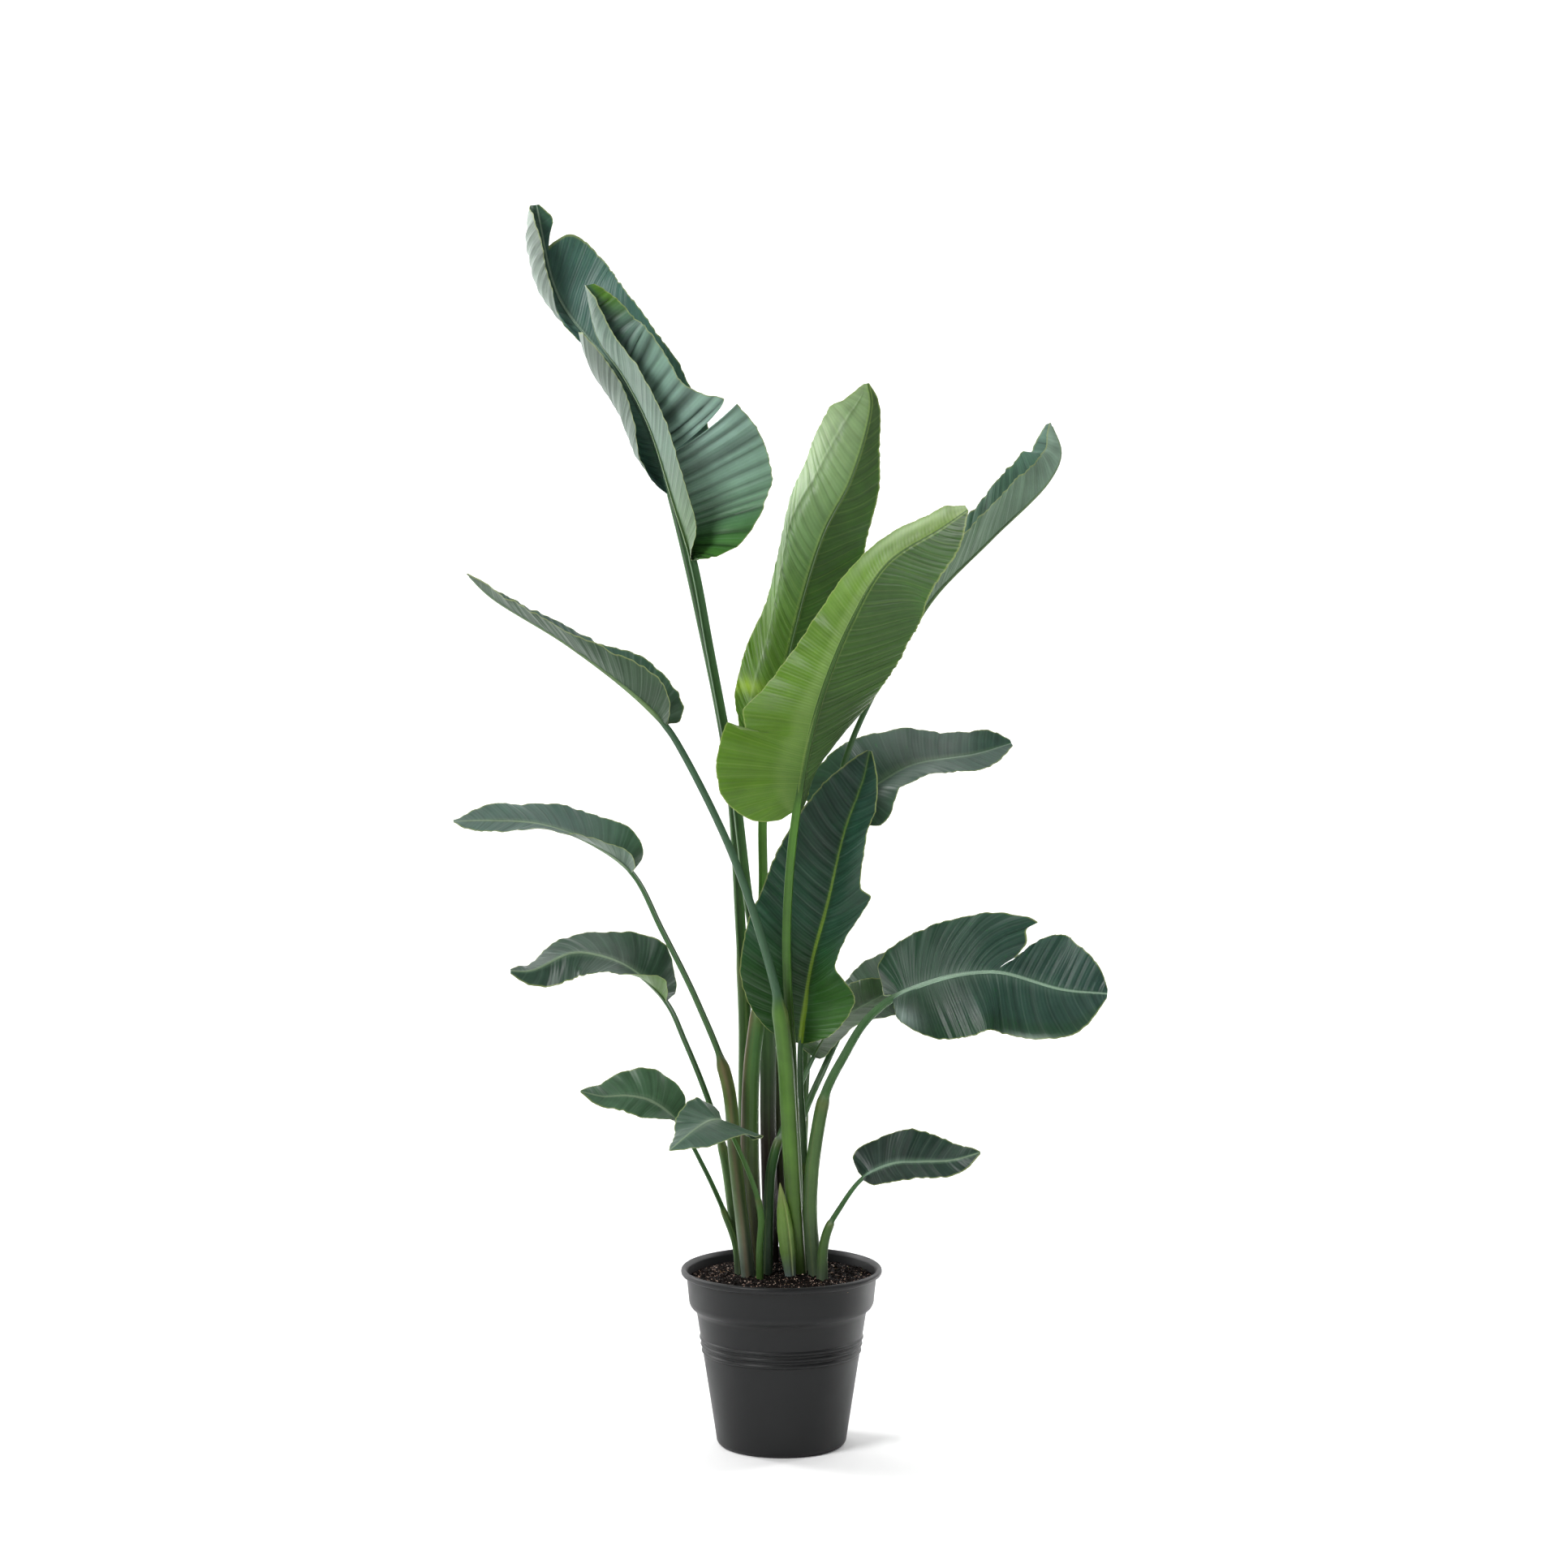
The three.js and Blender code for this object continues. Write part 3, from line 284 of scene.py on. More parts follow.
def soil_materials():
    """Peat, dark brown and damp, so dull with small glints; bark and fibres are the same stuff, drier and paler."""
    made = []
    for name, dark, light, dull in (
        ("damp peat crumbs", "#060302", "#1a100b", 0.85),
        ("composted bark chips", "#6a4a3e", "#d9bfae", 0.75),
        ("dry root fibres", "#6b4d36", "#b09372", 0.7),
    ):
        material, tree, shader = new_material(name, {"Roughness": dull, "Specular IOR Level": 0.15})
        place = add_node(tree, "ShaderNodeTexCoord").outputs["Object"]
        shade = add_node(tree, "ShaderNodeAttribute", attribute_name="shade").outputs["Fac"]
        speckle = add_node(tree, "ShaderNodeTexNoise", {"Vector": place, "Scale": 900.0, "Detail": 3.0})
        summed = add_node(tree, "ShaderNodeMath", {0: speckle, 1: 0.7, 2: shade}, operation="MULTIPLY_ADD")
        paleness = add_node(tree, "ShaderNodeMath", {0: summed, 1: 0.35}, operation="SUBTRACT", use_clamp=True)
        tone = add_node(tree, "ShaderNodeMix", {0: paleness, 6: srgb(dark), 7: srgb(light)}, data_type="RGBA")
        tree.links.new(tone.outputs[2], shader.inputs["Base Color"])
        relief = add_node(tree, "ShaderNodeBump", {"Height": speckle.outputs["Fac"], "Distance": 0.0004})
        tree.links.new(relief.outputs["Normal"], shader.inputs["Normal"])
        made.append(material)
    return made


peat, bark, fibre = soil_materials()
bed_mesh.materials.append(peat)

# The tree strews three kinds of bit: crumbs and chips are dented 20-sided lumps, and fibres are thin bent rods.
strew = bpy.data.node_groups.new("strewn soil", "GeometryNodeTree")
strew.interface.new_socket("Geometry", in_out="INPUT", socket_type="NodeSocketGeometry")
strew.interface.new_socket("Geometry", in_out="OUTPUT", socket_type="NodeSocketGeometry")
SOIL_BITS = {
    "Crumbs per m2": 300000.0, "Crumb size": 0.0012,
    "Chips per m2": 250000.0, "Chip size": 0.0006,
    "Fibres per m2": 16000.0, "Fibre length": 0.0055,
}
for name in SOIL_BITS:
    strew.interface.new_socket(name, in_out="INPUT", socket_type="NodeSocketFloat")
bed_in = add_node(strew, "NodeGroupInput")
facing = add_node(strew, "GeometryNodeInputNormal")
upward = add_node(strew, "ShaderNodeSeparateXYZ", {0: facing})
spot = add_node(strew, "GeometryNodeInputPosition")
height = add_node(strew, "ShaderNodeSeparateXYZ", {0: spot})
on_top = add_node(strew, "ShaderNodeMath", {0: height.outputs["Z"], 1: STREWN_ABOVE / 1000}, operation="GREATER_THAN")
looks_up = add_node(strew, "ShaderNodeMath", {0: upward.outputs["Z"], 1: 0.2}, operation="GREATER_THAN")
open_top = add_node(strew, "ShaderNodeMath", {0: on_top, 1: looks_up}, operation="MULTIPLY")

lump = add_node(strew, "GeometryNodeMeshIcoSphere", {"Radius": 1.0, "Subdivisions": 1})
dent = add_node(strew, "ShaderNodeTexNoise", {"Scale": 1.3, "Detail": 1.0})
centred = add_node(strew, "ShaderNodeVectorMath", {0: dent.outputs["Color"], 1: (0.5, 0.5, 0.5)},
                   operation="SUBTRACT")
pushed = add_node(strew, "ShaderNodeVectorMath", {0: centred, "Scale": 2.2}, operation="SCALE")
dented = add_node(strew, "GeometryNodeSetPosition", {"Geometry": lump.outputs["Mesh"], "Offset": pushed})
rod = add_node(strew, "GeometryNodeMeshCylinder", {"Vertices": 4, "Side Segments": 4, "Radius": 0.035, "Depth": 1.0})
rod_spot = add_node(strew, "ShaderNodeSeparateXYZ", {0: spot})
sag = add_node(strew, "ShaderNodeMath", {0: rod_spot.outputs["Z"], 1: 2.0}, operation="POWER")
sag_out = add_node(strew, "ShaderNodeCombineXYZ", {"X": sag})
bent = add_node(strew, "GeometryNodeSetPosition", {"Geometry": rod.outputs["Mesh"], "Offset": sag_out})

bits = [bed_in.outputs["Geometry"]]
for seed, (density, size, shape, material, squash, tilt) in enumerate((
    ("Crumbs per m2", "Crumb size", dented, peat, (1, 1, 0.8), math.pi),
    ("Chips per m2", "Chip size", dented, bark, (1.3, 0.8, 0.45), 0.6),
    ("Fibres per m2", "Fibre length", bent, fibre, (1, 1, 1), None),
)):
    points = add_node(strew, "GeometryNodeDistributePointsOnFaces", {
        "Mesh": bed_in.outputs["Geometry"], "Selection": open_top, "Density": bed_in.outputs[density],
        "Seed": 11 + seed})
    low, high = ((-tilt, -tilt, 0), (tilt, tilt, 6.28)) if tilt else ((1.2, 0, 0), (1.85, 0.3, 6.28))
    turned = add_node(strew, "FunctionNodeRandomValue", {0: low, 1: high, "Seed": 21 + seed},
                      data_type="FLOAT_VECTOR")
    sized = add_node(strew, "FunctionNodeRandomValue", {2: 0.0, 3: 1.0, "Seed": 31 + seed}, data_type="FLOAT")
    skewed = add_node(strew, "ShaderNodeMath", {0: sized.outputs[1], 1: 2.5}, operation="POWER")
    spread = add_node(strew, "ShaderNodeMapRange", {"Value": skewed, "To Min": 0.3, "To Max": 1.25})
    scaled = add_node(strew, "ShaderNodeMath", {0: spread, 1: bed_in.outputs[size]},
                      operation="MULTIPLY")
    stretched = add_node(strew, "ShaderNodeVectorMath", {0: squash, "Scale": scaled}, operation="SCALE")
    laid = add_node(strew, "GeometryNodeInstanceOnPoints", {
        "Points": points.outputs["Points"], "Instance": shape.outputs["Geometry"],
        "Rotation": turned, "Scale": stretched})
    shade = add_node(strew, "FunctionNodeRandomValue", {2: 0.0, 3: 1.0, "Seed": 41 + seed}, data_type="FLOAT")
    shaded = add_node(strew, "GeometryNodeStoreNamedAttribute", {
        "Geometry": laid.outputs["Instances"], "Name": "shade", "Value": shade.outputs[1]},
        data_type="FLOAT", domain="INSTANCE")
    real = add_node(strew, "GeometryNodeRealizeInstances", {"Geometry": shaded.outputs["Geometry"]})
    bits.append(add_node(strew, "GeometryNodeSetMaterial", {
        "Geometry": real.outputs["Geometry"], "Material": material}).outputs["Geometry"])
joined = add_node(strew, "GeometryNodeJoinGeometry")
for bit in bits:
    strew.links.new(bit, joined.inputs[0])
add_node(strew, "NodeGroupOutput", {0: joined})

strewing = soil.modifiers.new("strewn soil", "NODES")
strewing.node_group = strew
for item in strew.interface.items_tree:
    if item.in_out == "INPUT" and item.name in SOIL_BITS:
        strewing[item.identifier] = SOIL_BITS[item.name]
apply_modifiers(soil)
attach(soil, "root")
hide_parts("soil")


# ---------- leaves: tissue ----------
# Every leaf grew in one piece: a foot in the soil, a sheath that clasps the next leaf, a grooved stalk that runs on
# as the midrib, and a blade in two halves whose veins sweep from midrib to margin. Blades tear along those veins.
# A leaf is made from its centre line, the way its upper side looks, and the margin of each half, in strips where it
# is torn to the midrib. A margin point is [share of the midrib, distance from it, lift, curl in degrees].
STANDING_TOP = 119.6
FOOT_BOTTOM = 106.0
BLADE_THICKNESS = 0.6
ROOT_BEND = 1.5
SWEEP = 1.3
BEND_STEPS = 24
FOLD_WIDTH = 0.36
RIB_SAMPLES = 400
COLUMNS_PER_PLEAT = 7
ROWS = 28
RIPPLE_OCTAVES = 3


def steady_slopes(x, y):
    """Slopes for a curve through y at x that never overshoots its points."""
    step = np.diff(x)[:, None]
    rise = np.diff(y, axis=0) / step
    slopes = np.zeros_like(y)
    before, after = rise[:-1], rise[1:]
    w1, w2 = 2 * step[1:] + step[:-1], step[1:] + 2 * step[:-1]
    same = before * after > 0
    safe_before, safe_after = np.where(same, before, 1), np.where(same, after, 1)
    slopes[1:-1] = np.where(same, (w1 + w2) / (w1 / safe_before + w2 / safe_after), 0)
    slopes[0], slopes[-1] = rise[0], rise[-1]
    return slopes


def steady_curve(x, y, at):
    """The values at the given places on a smooth curve through the points that never overshoots them."""
    x, y = np.asarray(x, float), np.asarray(y, float)
    slopes = steady_slopes(x, y)
    i = np.clip(np.searchsorted(x, at, side="right") - 1, 0, len(x) - 2)
    step = (x[i + 1] - x[i])[:, None]
    t = ((at - x[i]) / step[:, 0])[:, None]
    return ((2 * t ** 3 - 3 * t ** 2 + 1) * y[i] + (t ** 3 - 2 * t ** 2 + t) * step * slopes[i]
            + (3 * t ** 2 - 2 * t ** 3) * y[i + 1] + (t ** 3 - t ** 2) * step * slopes[i + 1])


def unit(vectors):
    return vectors / np.maximum(np.linalg.norm(vectors, axis=-1, keepdims=True), 1e-9)


def ease(low, high, value):
    t = np.clip((value - low) / (high - low), 0, 1)
    return t * t * (3 - 2 * t)


def ripple(x, wavelength, seed):
    """A smooth random wave between about -1 and 1."""
    draw = np.random.default_rng(seed)
    total = np.zeros_like(np.asarray(x, float))
    for octave in range(RIPPLE_OCTAVES):
        for _ in range(2):
            length = wavelength / 2 ** octave * draw.uniform(0.75, 1.3)
            total += np.sin(2 * math.pi * (x / length + draw.uniform())) * 0.5 / 1.6 ** octave
    return total


class Line:
    """A stretch of the leaf's centre line, sampled evenly by length, with the way its upper side looks."""

    def __init__(self, points, faces):
        reached = np.concatenate([[0], np.cumsum(np.linalg.norm(np.diff(points, axis=0), axis=1))])
        self.length = reached[-1]
        even = np.linspace(0, self.length, RIB_SAMPLES + 1)
        self.points = np.stack([np.interp(even, reached, points[:, k]) for k in range(3)], 1)
        self.faces = np.asarray(faces, float)

    def at(self, share):
        return np.stack([np.interp(share, np.linspace(0, 1, RIB_SAMPLES + 1), self.points[:, k])
                         for k in range(3)], -1)

    def frame(self, share):
        """Place, forward, up and left at shares of the line, straight on beyond its ends."""
        inside = np.clip(share, 0, 1)
        forward = unit(self.at(np.minimum(inside + 0.01, 1)) - self.at(np.maximum(inside - 0.01, 0)))
        if len(self.faces) > 1:
            stations = np.linspace(0, 1, len(self.faces))
            up = steady_curve(stations, self.faces, inside.ravel()).reshape(*inside.shape, 3)
        else:
            up = np.broadcast_to(self.faces[0], forward.shape)
        up = unit(up - (up * forward).sum(-1, keepdims=True) * forward)
        place = self.at(inside) + forward * ((share - inside) * self.length)[..., None]
        return place, forward, up, np.cross(up, forward)


def centre_line(foot, stalk, rib, faces):
    points = [[*foot, STANDING_TOP], *stalk, *rib]
    steps = 60
    whole = smooth_line(points, steps)
    base = (len(stalk) + 1) * steps
    return Line(whole[:base + 1], faces[:1]), Line(whole[base:], faces)


class Skin:
    """Vertices, faces and their colours and coordinates, gathered piece by piece into one mesh."""
    UPPER, UNDER, STALK = 0, 1, 2

    def __init__(self):
        self.points, self.faces, self.kinds, self.tint, self.vein, self.edge = [], [], [], [], [], []
        self.count = 0

    def add(self, points, tint, vein, edge, faces, kinds):
        self.points.append(points.reshape(-1, 3))
        self.tint.append(np.broadcast_to(tint, points.shape).reshape(-1, 3))
        self.vein.append(np.broadcast_to(vein, points.shape[:-1]).ravel())
        self.edge.append(np.broadcast_to(edge, points.shape[:-1]).ravel())
        self.faces.append(faces + self.count)
        self.kinds.append(kinds)
        self.count += self.points[-1].shape[0]

    def mesh(self, name, materials):
        points, faces = np.vstack(self.points) * 0.001, np.vstack(self.faces)
        made = bpy.data.meshes.new(name)
        made.vertices.add(len(points))
        made.vertices.foreach_set("co", points.ravel())
        made.loops.add(faces.size)
        made.loops.foreach_set("vertex_index", faces.ravel().astype(np.int32))
        made.polygons.add(len(faces))
        made.polygons.foreach_set("loop_start", np.arange(0, faces.size, 4, dtype=np.int32))
        made.polygons.foreach_set("material_index", np.concatenate(self.kinds).astype(np.int32))
        made.update(calc_edges=True)
        tint = np.hstack([np.vstack(self.tint), np.ones((len(points), 1))])
        made.attributes.new("tint", "FLOAT_COLOR", "POINT").data.foreach_set("color", tint.ravel())
        made.attributes.new("vein", "FLOAT", "POINT").data.foreach_set("value", np.concatenate(self.vein))
        made.attributes.new("edge", "FLOAT", "POINT").data.foreach_set("value", np.concatenate(self.edge))
        for material in materials:
            made.materials.append(material)
        shade_smooth(made, 70)
        made.validate()
        return made


def grid_faces(columns, rows, closed=False):
    """Quads between a grid's points, stored column by column. A closed grid joins its last row to its first."""
    column, row = np.meshgrid(np.arange(columns - 1), np.arange(rows if closed else rows - 1), indexing="ij")
    column, row = column.ravel(), row.ravel()
    after = (row + 1) % rows
    return np.stack([column * rows + row, (column + 1) * rows + row, (column + 1) * rows + after,
                     column * rows + after], 1)


def tube_faces(rings, sides):
    """Quads that close a tube of rings, with both of its ends capped."""
    around = grid_faces(rings, sides, closed=True)[:, ::-1]
    low = np.arange(sides // 2 - 1)
    cap = np.stack([low, low + 1, sides - 2 - low, sides - 1 - low], 1)
    return np.vstack([around, cap[:, ::-1], cap + (rings - 1) * sides])


def mix(a, b, share):
    return a + (b - a) * share


def tone_along(stops, share):
    """Linear RGB along a list of [share, hex colour] stops."""
    shares = [s for s, _ in stops]
    colours = np.array([linear(code) for _, code in stops])
    return np.stack([np.interp(share, shares, colours[:, k]) for k in range(3)], -1)


def bent_reach(across, lift, curl, fold, out):
    """How far a half reaches sideways and upwards at shares of its width, as it bends evenly or at its fold."""
    at = out[..., None] * (np.arange(BEND_STEPS) + 0.5) / BEND_STEPS
    bent = ease(fold - FOLD_WIDTH / 2, fold + FOLD_WIDTH / 2, at) if fold else at - 0.5
    angle = np.radians(lift[..., None] + curl[..., None] * bent)
    return across * out * np.cos(angle).mean(-1), across * out * np.sin(angle).mean(-1)


def surface_normals(points, sign):
    """Unit normals on the upper side of a half's grid of points."""
    ahead, outward = np.gradient(points, axis=0), np.gradient(points, axis=1)
    return unit(np.cross(outward, ahead) * -sign)


def blade_tones(look, seed, vein, out, across, middle_share, crease, lit):
    """A half's colours above and below: tissue with its pleats, midrib, bands along it and soft marks."""
    streak = 1 + look["streak"] * ripple(vein, 13, seed + 5) * ease(0.05, 0.3, out)
    cloud = 1 + 0.10 * ripple(vein + 40 * out, 90, seed + 6)
    # The crease value darkens both faces as painted shade in the pleats' creases; lit lightens the upper face as a
    # painted highlight on their crests.
    upper = tone_along(look["upper"], middle_share) * (streak * cloud * (1 - crease + lit))[..., None]
    under = tone_along(look["under"], middle_share) * (streak * cloud * (1 - 0.6 * crease))[..., None]
    near_rib = (1 - ease(0.0, 0.22, out)) * look["rib_glow"] * np.ones_like(middle_share)
    upper = mix(upper, linear(look["rib"]), near_rib[..., None])
    to_rib = out * across
    rib_reach = look["rib_width"] * (1.15 - 0.75 * np.clip(middle_share, 0, 1))
    on_rib = ease(rib_reach + 0.35, rib_reach - 0.35, to_rib)
    beside_rib = ease(rib_reach + 1.6, rib_reach + 0.5, to_rib) * (1 - on_rib)
    rib_tone = tone_along([(0, look["rib"]), (1, look["rib_tip"])], middle_share)
    upper = mix(upper, linear(look["rib_edge"]), (beside_rib * 0.5)[..., None])
    upper = mix(upper, rib_tone, (on_rib * 0.9)[..., None])
    # Bands and marks are the tissue's own colours and dry scars on some leaves, and painted shade and painted
    # highlights on folds, rolls and hoods on others, as each leaf's look says.
    for low, high, soft, code, strength in look["bands"]:
        inside = ease(low - soft, low + soft, out) * ease(high + soft, high - soft, out) * ease(4, 14, across)
        upper = mix(upper, linear(code) * (1 - crease)[..., None], (inside * strength)[..., None])
    for at, reach, spread_at, spread_out, code, strength in look["marks"]:
        near = np.exp(-((middle_share - at) / spread_at) ** 2 - ((out - reach) / spread_out) ** 2)
        upper = mix(upper, linear(code), (near * strength)[..., None])
        under = mix(under, linear(code), (near * strength * 0.6)[..., None])
    return upper, under


def sheet_faces(columns, rows, sign):
    """Faces of two grids, the upper first, closed round their rim, and the kind of skin on each face."""
    faces = grid_faces(columns, rows)
    lower = faces + columns * rows
    if sign > 0:
        lower = lower[:, ::-1]
    else:
        faces = faces[:, ::-1]
    ring = np.concatenate([np.arange(columns) * rows, (columns - 1) * rows + np.arange(1, rows),
                           np.arange(columns - 2, -1, -1) * rows + rows - 1, np.arange(rows - 2, 0, -1)])
    after = np.roll(ring, -1)
    rim = np.stack([ring, ring + columns * rows, after + columns * rows, after], 1)
    if sign < 0:
        rim = rim[:, ::-1]
    kinds = np.repeat([Skin.UPPER, Skin.UNDER, Skin.UPPER], [len(faces), len(lower), len(rim)])
    return np.vstack([faces, lower, rim]), kinds


def blade_half(skin, rib, strips, sign, fold, look, seed):
    """One half of a blade: a thin closed sheet for each strip, on a grid from midrib to margin along the veins."""
    walked = []
    for strip in strips:
        strip = np.asarray(strip, float)
        reached = np.concatenate([[0], np.cumsum(np.hypot(np.diff(strip[:, 0]) * rib.length, np.diff(strip[:, 1])))])
        walked.append((strip, reached))
    total = sum(reached[-1] for _, reached in walked)
    start = 0
    for strip, reached in walked:
        knots = (start + reached) / total
        start += reached[-1]
        count = max(24, int(COLUMNS_PER_PLEAT * reached[-1] / look["pleat_spacing"]))
        shares = np.union1d(np.linspace(knots[0], knots[-1], count), knots)
        margin = steady_curve(knots, strip, shares)
        edge_share, across, lift, curl = (margin[:, k:k + 1] for k in range(4))
        vein = shares[:, None] * total
        across = across + np.where(across > 6, look["frill"] * ripple(vein, 9, seed + 1), 0)
        out = np.linspace(0, 1, ROWS + 1)[None, :] ** 1.4
        middle_share = mix(shares[:, None] ** ROOT_BEND, edge_share, out ** SWEEP)
        place, _, up, left = rib.frame(middle_share)
        sideways, upwards = bent_reach(across, lift, curl, fold, out)
        wave = ripple(vein, look["wave_length"], seed + 2)
        upwards = upwards + look["wave"] * wave * out ** 2 * ease(0, 12, across)
        surface = place + left * (sign * sideways)[..., None] + up * upwards[..., None]

        normals = surface_normals(surface, sign)
        spacing = look["pleat_spacing"]
        drift = ripple(vein, 55, seed + 3) * 0.35
        crest = np.abs(np.sin(math.pi * (vein / spacing + drift))) ** 0.75
        spread = np.linalg.norm(np.gradient(surface, axis=0), axis=-1) / np.gradient(vein, axis=0)
        depth = look["pleat"] * (0.85 + 0.25 * ripple(vein, 70, seed + 4)) * np.clip(spread, 0, 1) ** 1.5
        flat_tip = ease(0, 14, across) * ease(0.0, 0.12, out) * (1 - 0.35 * ease(0.75, 1, out))
        surface = surface + normals * (depth * (crest - 0.6) * flat_tip)[..., None]
        # Painted shade: the colour darkens in each pleat's crease, as much as the look's crease value.
        crease = look["crease"] * (1 - crest) ** 2.2 * np.clip(spread, 0, 1) * flat_tip
        normals = surface_normals(surface, sign)

        # Painted highlight: the colour lightens along each pleat's crest, as much as the look's crest value.
        lit = look["crest"] * ease(0.45, 0.95, crest) * np.clip(spread, 0, 1) * flat_tip
        upper, under = blade_tones(look, seed, vein, out, across, middle_share, crease, lit)

        half = 0.5 * BLADE_THICKNESS * (1 - 0.6 * out ** 6) * np.ones_like(middle_share)
        columns, rows = surface.shape[:2]
        to_margin = (1 - out) * across
        sheet = np.concatenate([surface + normals * half[..., None], surface - normals * half[..., None]])
        skin.add(sheet, np.concatenate([upper, under]), np.concatenate([vein * np.ones_like(out)] * 2),
                 np.concatenate([to_margin] * 2), *sheet_faces(columns, rows, sign))


STALK_SIDES = 44
SEAM = 0.3
LIP_STARTS, LIP_WIDTH = 0.86, 0.14
stalk_turns = 2 * math.pi * (np.arange(STALK_SIDES) + 0.5) / STALK_SIDES


def stalk_rings(place, up, left, half_width, depth, lip, groove, clasp):
    """Rings round a stalk: a rounded back, and an upper side that dips in a groove between two rounded lips. Where
    the sheath clasps, the upper side is round too, and one margin lies over the other in a low step."""
    across, rise = np.cos(stalk_turns), np.sin(stalk_turns)
    from_middle = np.abs(across)
    trough = groove + (lip - groove) * np.clip(from_middle / LIP_STARTS, 0, 1) ** 2
    rounding = np.sqrt(np.clip(1 - ((from_middle - LIP_STARTS) / LIP_WIDTH) ** 2, 0, 1))
    top = np.where(from_middle < LIP_STARTS, trough, lip * rounding)
    wrapped = 0.8 * np.sin(np.clip(stalk_turns, 0, math.pi)) * (1 - 0.14 * ease(SEAM - 0.02, SEAM + 0.06, across))
    height = np.where(rise > 0, mix(top, wrapped, clasp), rise * depth)
    return (place[:, None] + left[:, None] * (across * half_width)[..., None]
            + up[:, None] * (height * half_width)[..., None])


def stalk_tones(look, seed, place, along, rib_along, end, opened, ribbed):
    """The tube's colours: stalk, midrib, sheath with its paler margin and top end, and blushes round it."""
    tint = tone_along(look["stalk"], along) * np.ones((1, STALK_SIDES, 1))
    rib_tint = tone_along([(0, look["rib"]), (1, look["rib_tip"])], rib_along)[:, None, :]
    tint = mix(tint, rib_tint * np.ones((1, STALK_SIDES, 1)), ribbed[..., None])
    sheath_tint = tone_along(look["sheath"], np.clip(along / max(end, 0.01), 0, 1)) * np.ones((1, STALK_SIDES, 1))
    tint = mix(tint, sheath_tint, opened[..., None])
    facing = np.sin(stalk_turns) > 0
    at_margin = 0.45 * np.exp(-((np.cos(stalk_turns) - SEAM + 0.06) / 0.06) ** 2) * facing
    beyond = ease(SEAM, SEAM + 0.15, np.cos(stalk_turns)) * facing
    top_end = np.exp(-((along - end) / 0.03) ** 2)
    # Painted shade: past the seam, where the other margin lies over it, the sheath is darkened by a quarter.
    tint = tint * (1 - 0.25 * beyond * opened)[..., None]
    paled = np.maximum(at_margin, 0.5 * top_end * facing) * opened
    tint = mix(tint, linear(look["lip"]), paled[..., None])
    for code, turn, spread, strength in look["blush"]:
        away = np.abs((np.degrees(stalk_turns) - turn + 180) % 360 - 180)
        tint = mix(tint, linear(code), (np.exp(-(away / spread) ** 2) * strength * opened)[..., None])
    length = np.concatenate([[0], np.cumsum(np.linalg.norm(np.diff(place, axis=0), axis=1))])[:, None]
    tint = tint * (1 + 0.05 * ripple(length, 60, seed + 7))[..., None]
    return tint


def stalk_skin(skin, stalk, rib, foot, faces, girth, sheath, look, seed):
    """Foot, sheath, stalk and midrib as one tapering tube along the leaf's centre line."""
    blade_girth, middle_girth, foot_girth = girth
    sheath_top, sheath_girth = sheath
    standing_up = unit(np.array([faces[0][0], faces[0][1], 0.0]))
    standing = 3
    heights = np.linspace(FOOT_BOTTOM, STANDING_TOP, standing, endpoint=False)
    place = [np.stack([np.full(standing, foot[0]), np.full(standing, foot[1]), heights], 1)]
    up = [np.repeat(standing_up[None], standing, 0)]
    left = [np.cross(up[0], [0.0, 0.0, 1.0])]
    shares = np.linspace(0, 1, max(40, int(stalk.length / 3)))
    end = shares[np.argmax(stalk.at(shares)[:, 2] > sheath_top)]
    stalk_place, _, stalk_up, stalk_left = stalk.frame(shares)
    turned = ease(0, 0.1, shares)[:, None]
    stalk_up = unit(mix(standing_up, stalk_up, turned))
    stalk_left = unit(mix(left[0][0], stalk_left, turned))
    rib_shares = np.linspace(0, 0.985, max(24, int(rib.length / 4)))[1:]
    rib_place, _, rib_up, rib_left = rib.frame(rib_shares)
    place = np.vstack(place + [stalk_place, rib_place])
    up = np.vstack(up + [stalk_up, rib_up])
    left = np.vstack(left + [stalk_left, rib_left])

    open_share = ease(end + 0.03, end - 0.012, shares)
    free = mix(middle_girth, blade_girth, np.clip((shares - end) / (1 - end), 0, 1))
    clasping = mix(foot_girth, sheath_girth, np.clip(shares / end, 0, 1))
    width = np.concatenate([np.full(standing, foot_girth), mix(free, clasping, open_share),
                            mix(blade_girth * 0.9, 0.55, rib_shares ** 0.7)])[:, None]
    opened = np.concatenate([np.ones(standing), open_share, np.zeros(len(rib_shares))])[:, None]
    ribbed = ease(0, 0.08, np.concatenate([np.zeros(standing + len(shares)), rib_shares]))[:, None]
    depth = mix(mix(0.8, 1.0, opened), 0.95, ribbed)
    lip = mix(0.5, 0.34, ribbed)
    groove = mix(0.24, 0.12, ribbed)
    rings = stalk_rings(place, up, left, width, depth, lip, groove, opened)

    along = np.concatenate([np.zeros(standing), shares, np.ones(len(rib_shares))])[:, None]
    rib_along = np.concatenate([np.zeros(standing + len(shares)), rib_shares])
    tint = stalk_tones(look, seed, place, along, rib_along, end, opened, ribbed)
    fibres = np.cos(stalk_turns) * width

    tube = tube_faces(len(rings), STALK_SIDES)
    skin.add(rings, tint, fibres, 50.0, tube, np.full(len(tube), Skin.STALK))


# The blades' skin is a waxy cuticle with a satin gloss, over tissue that lets a little light through. Its fine veins
# are 1.1 to 1.3 mm apart and drawn at 2.4 mm so that they show; every 8.5 mm a main vein shows as a pale line. Old
# leaves carry a grey bloom, which is thicker underneath, and a pale dry line runs round every margin.
FINE_VEIN = 2.4
MAIN_VEIN = 8.5


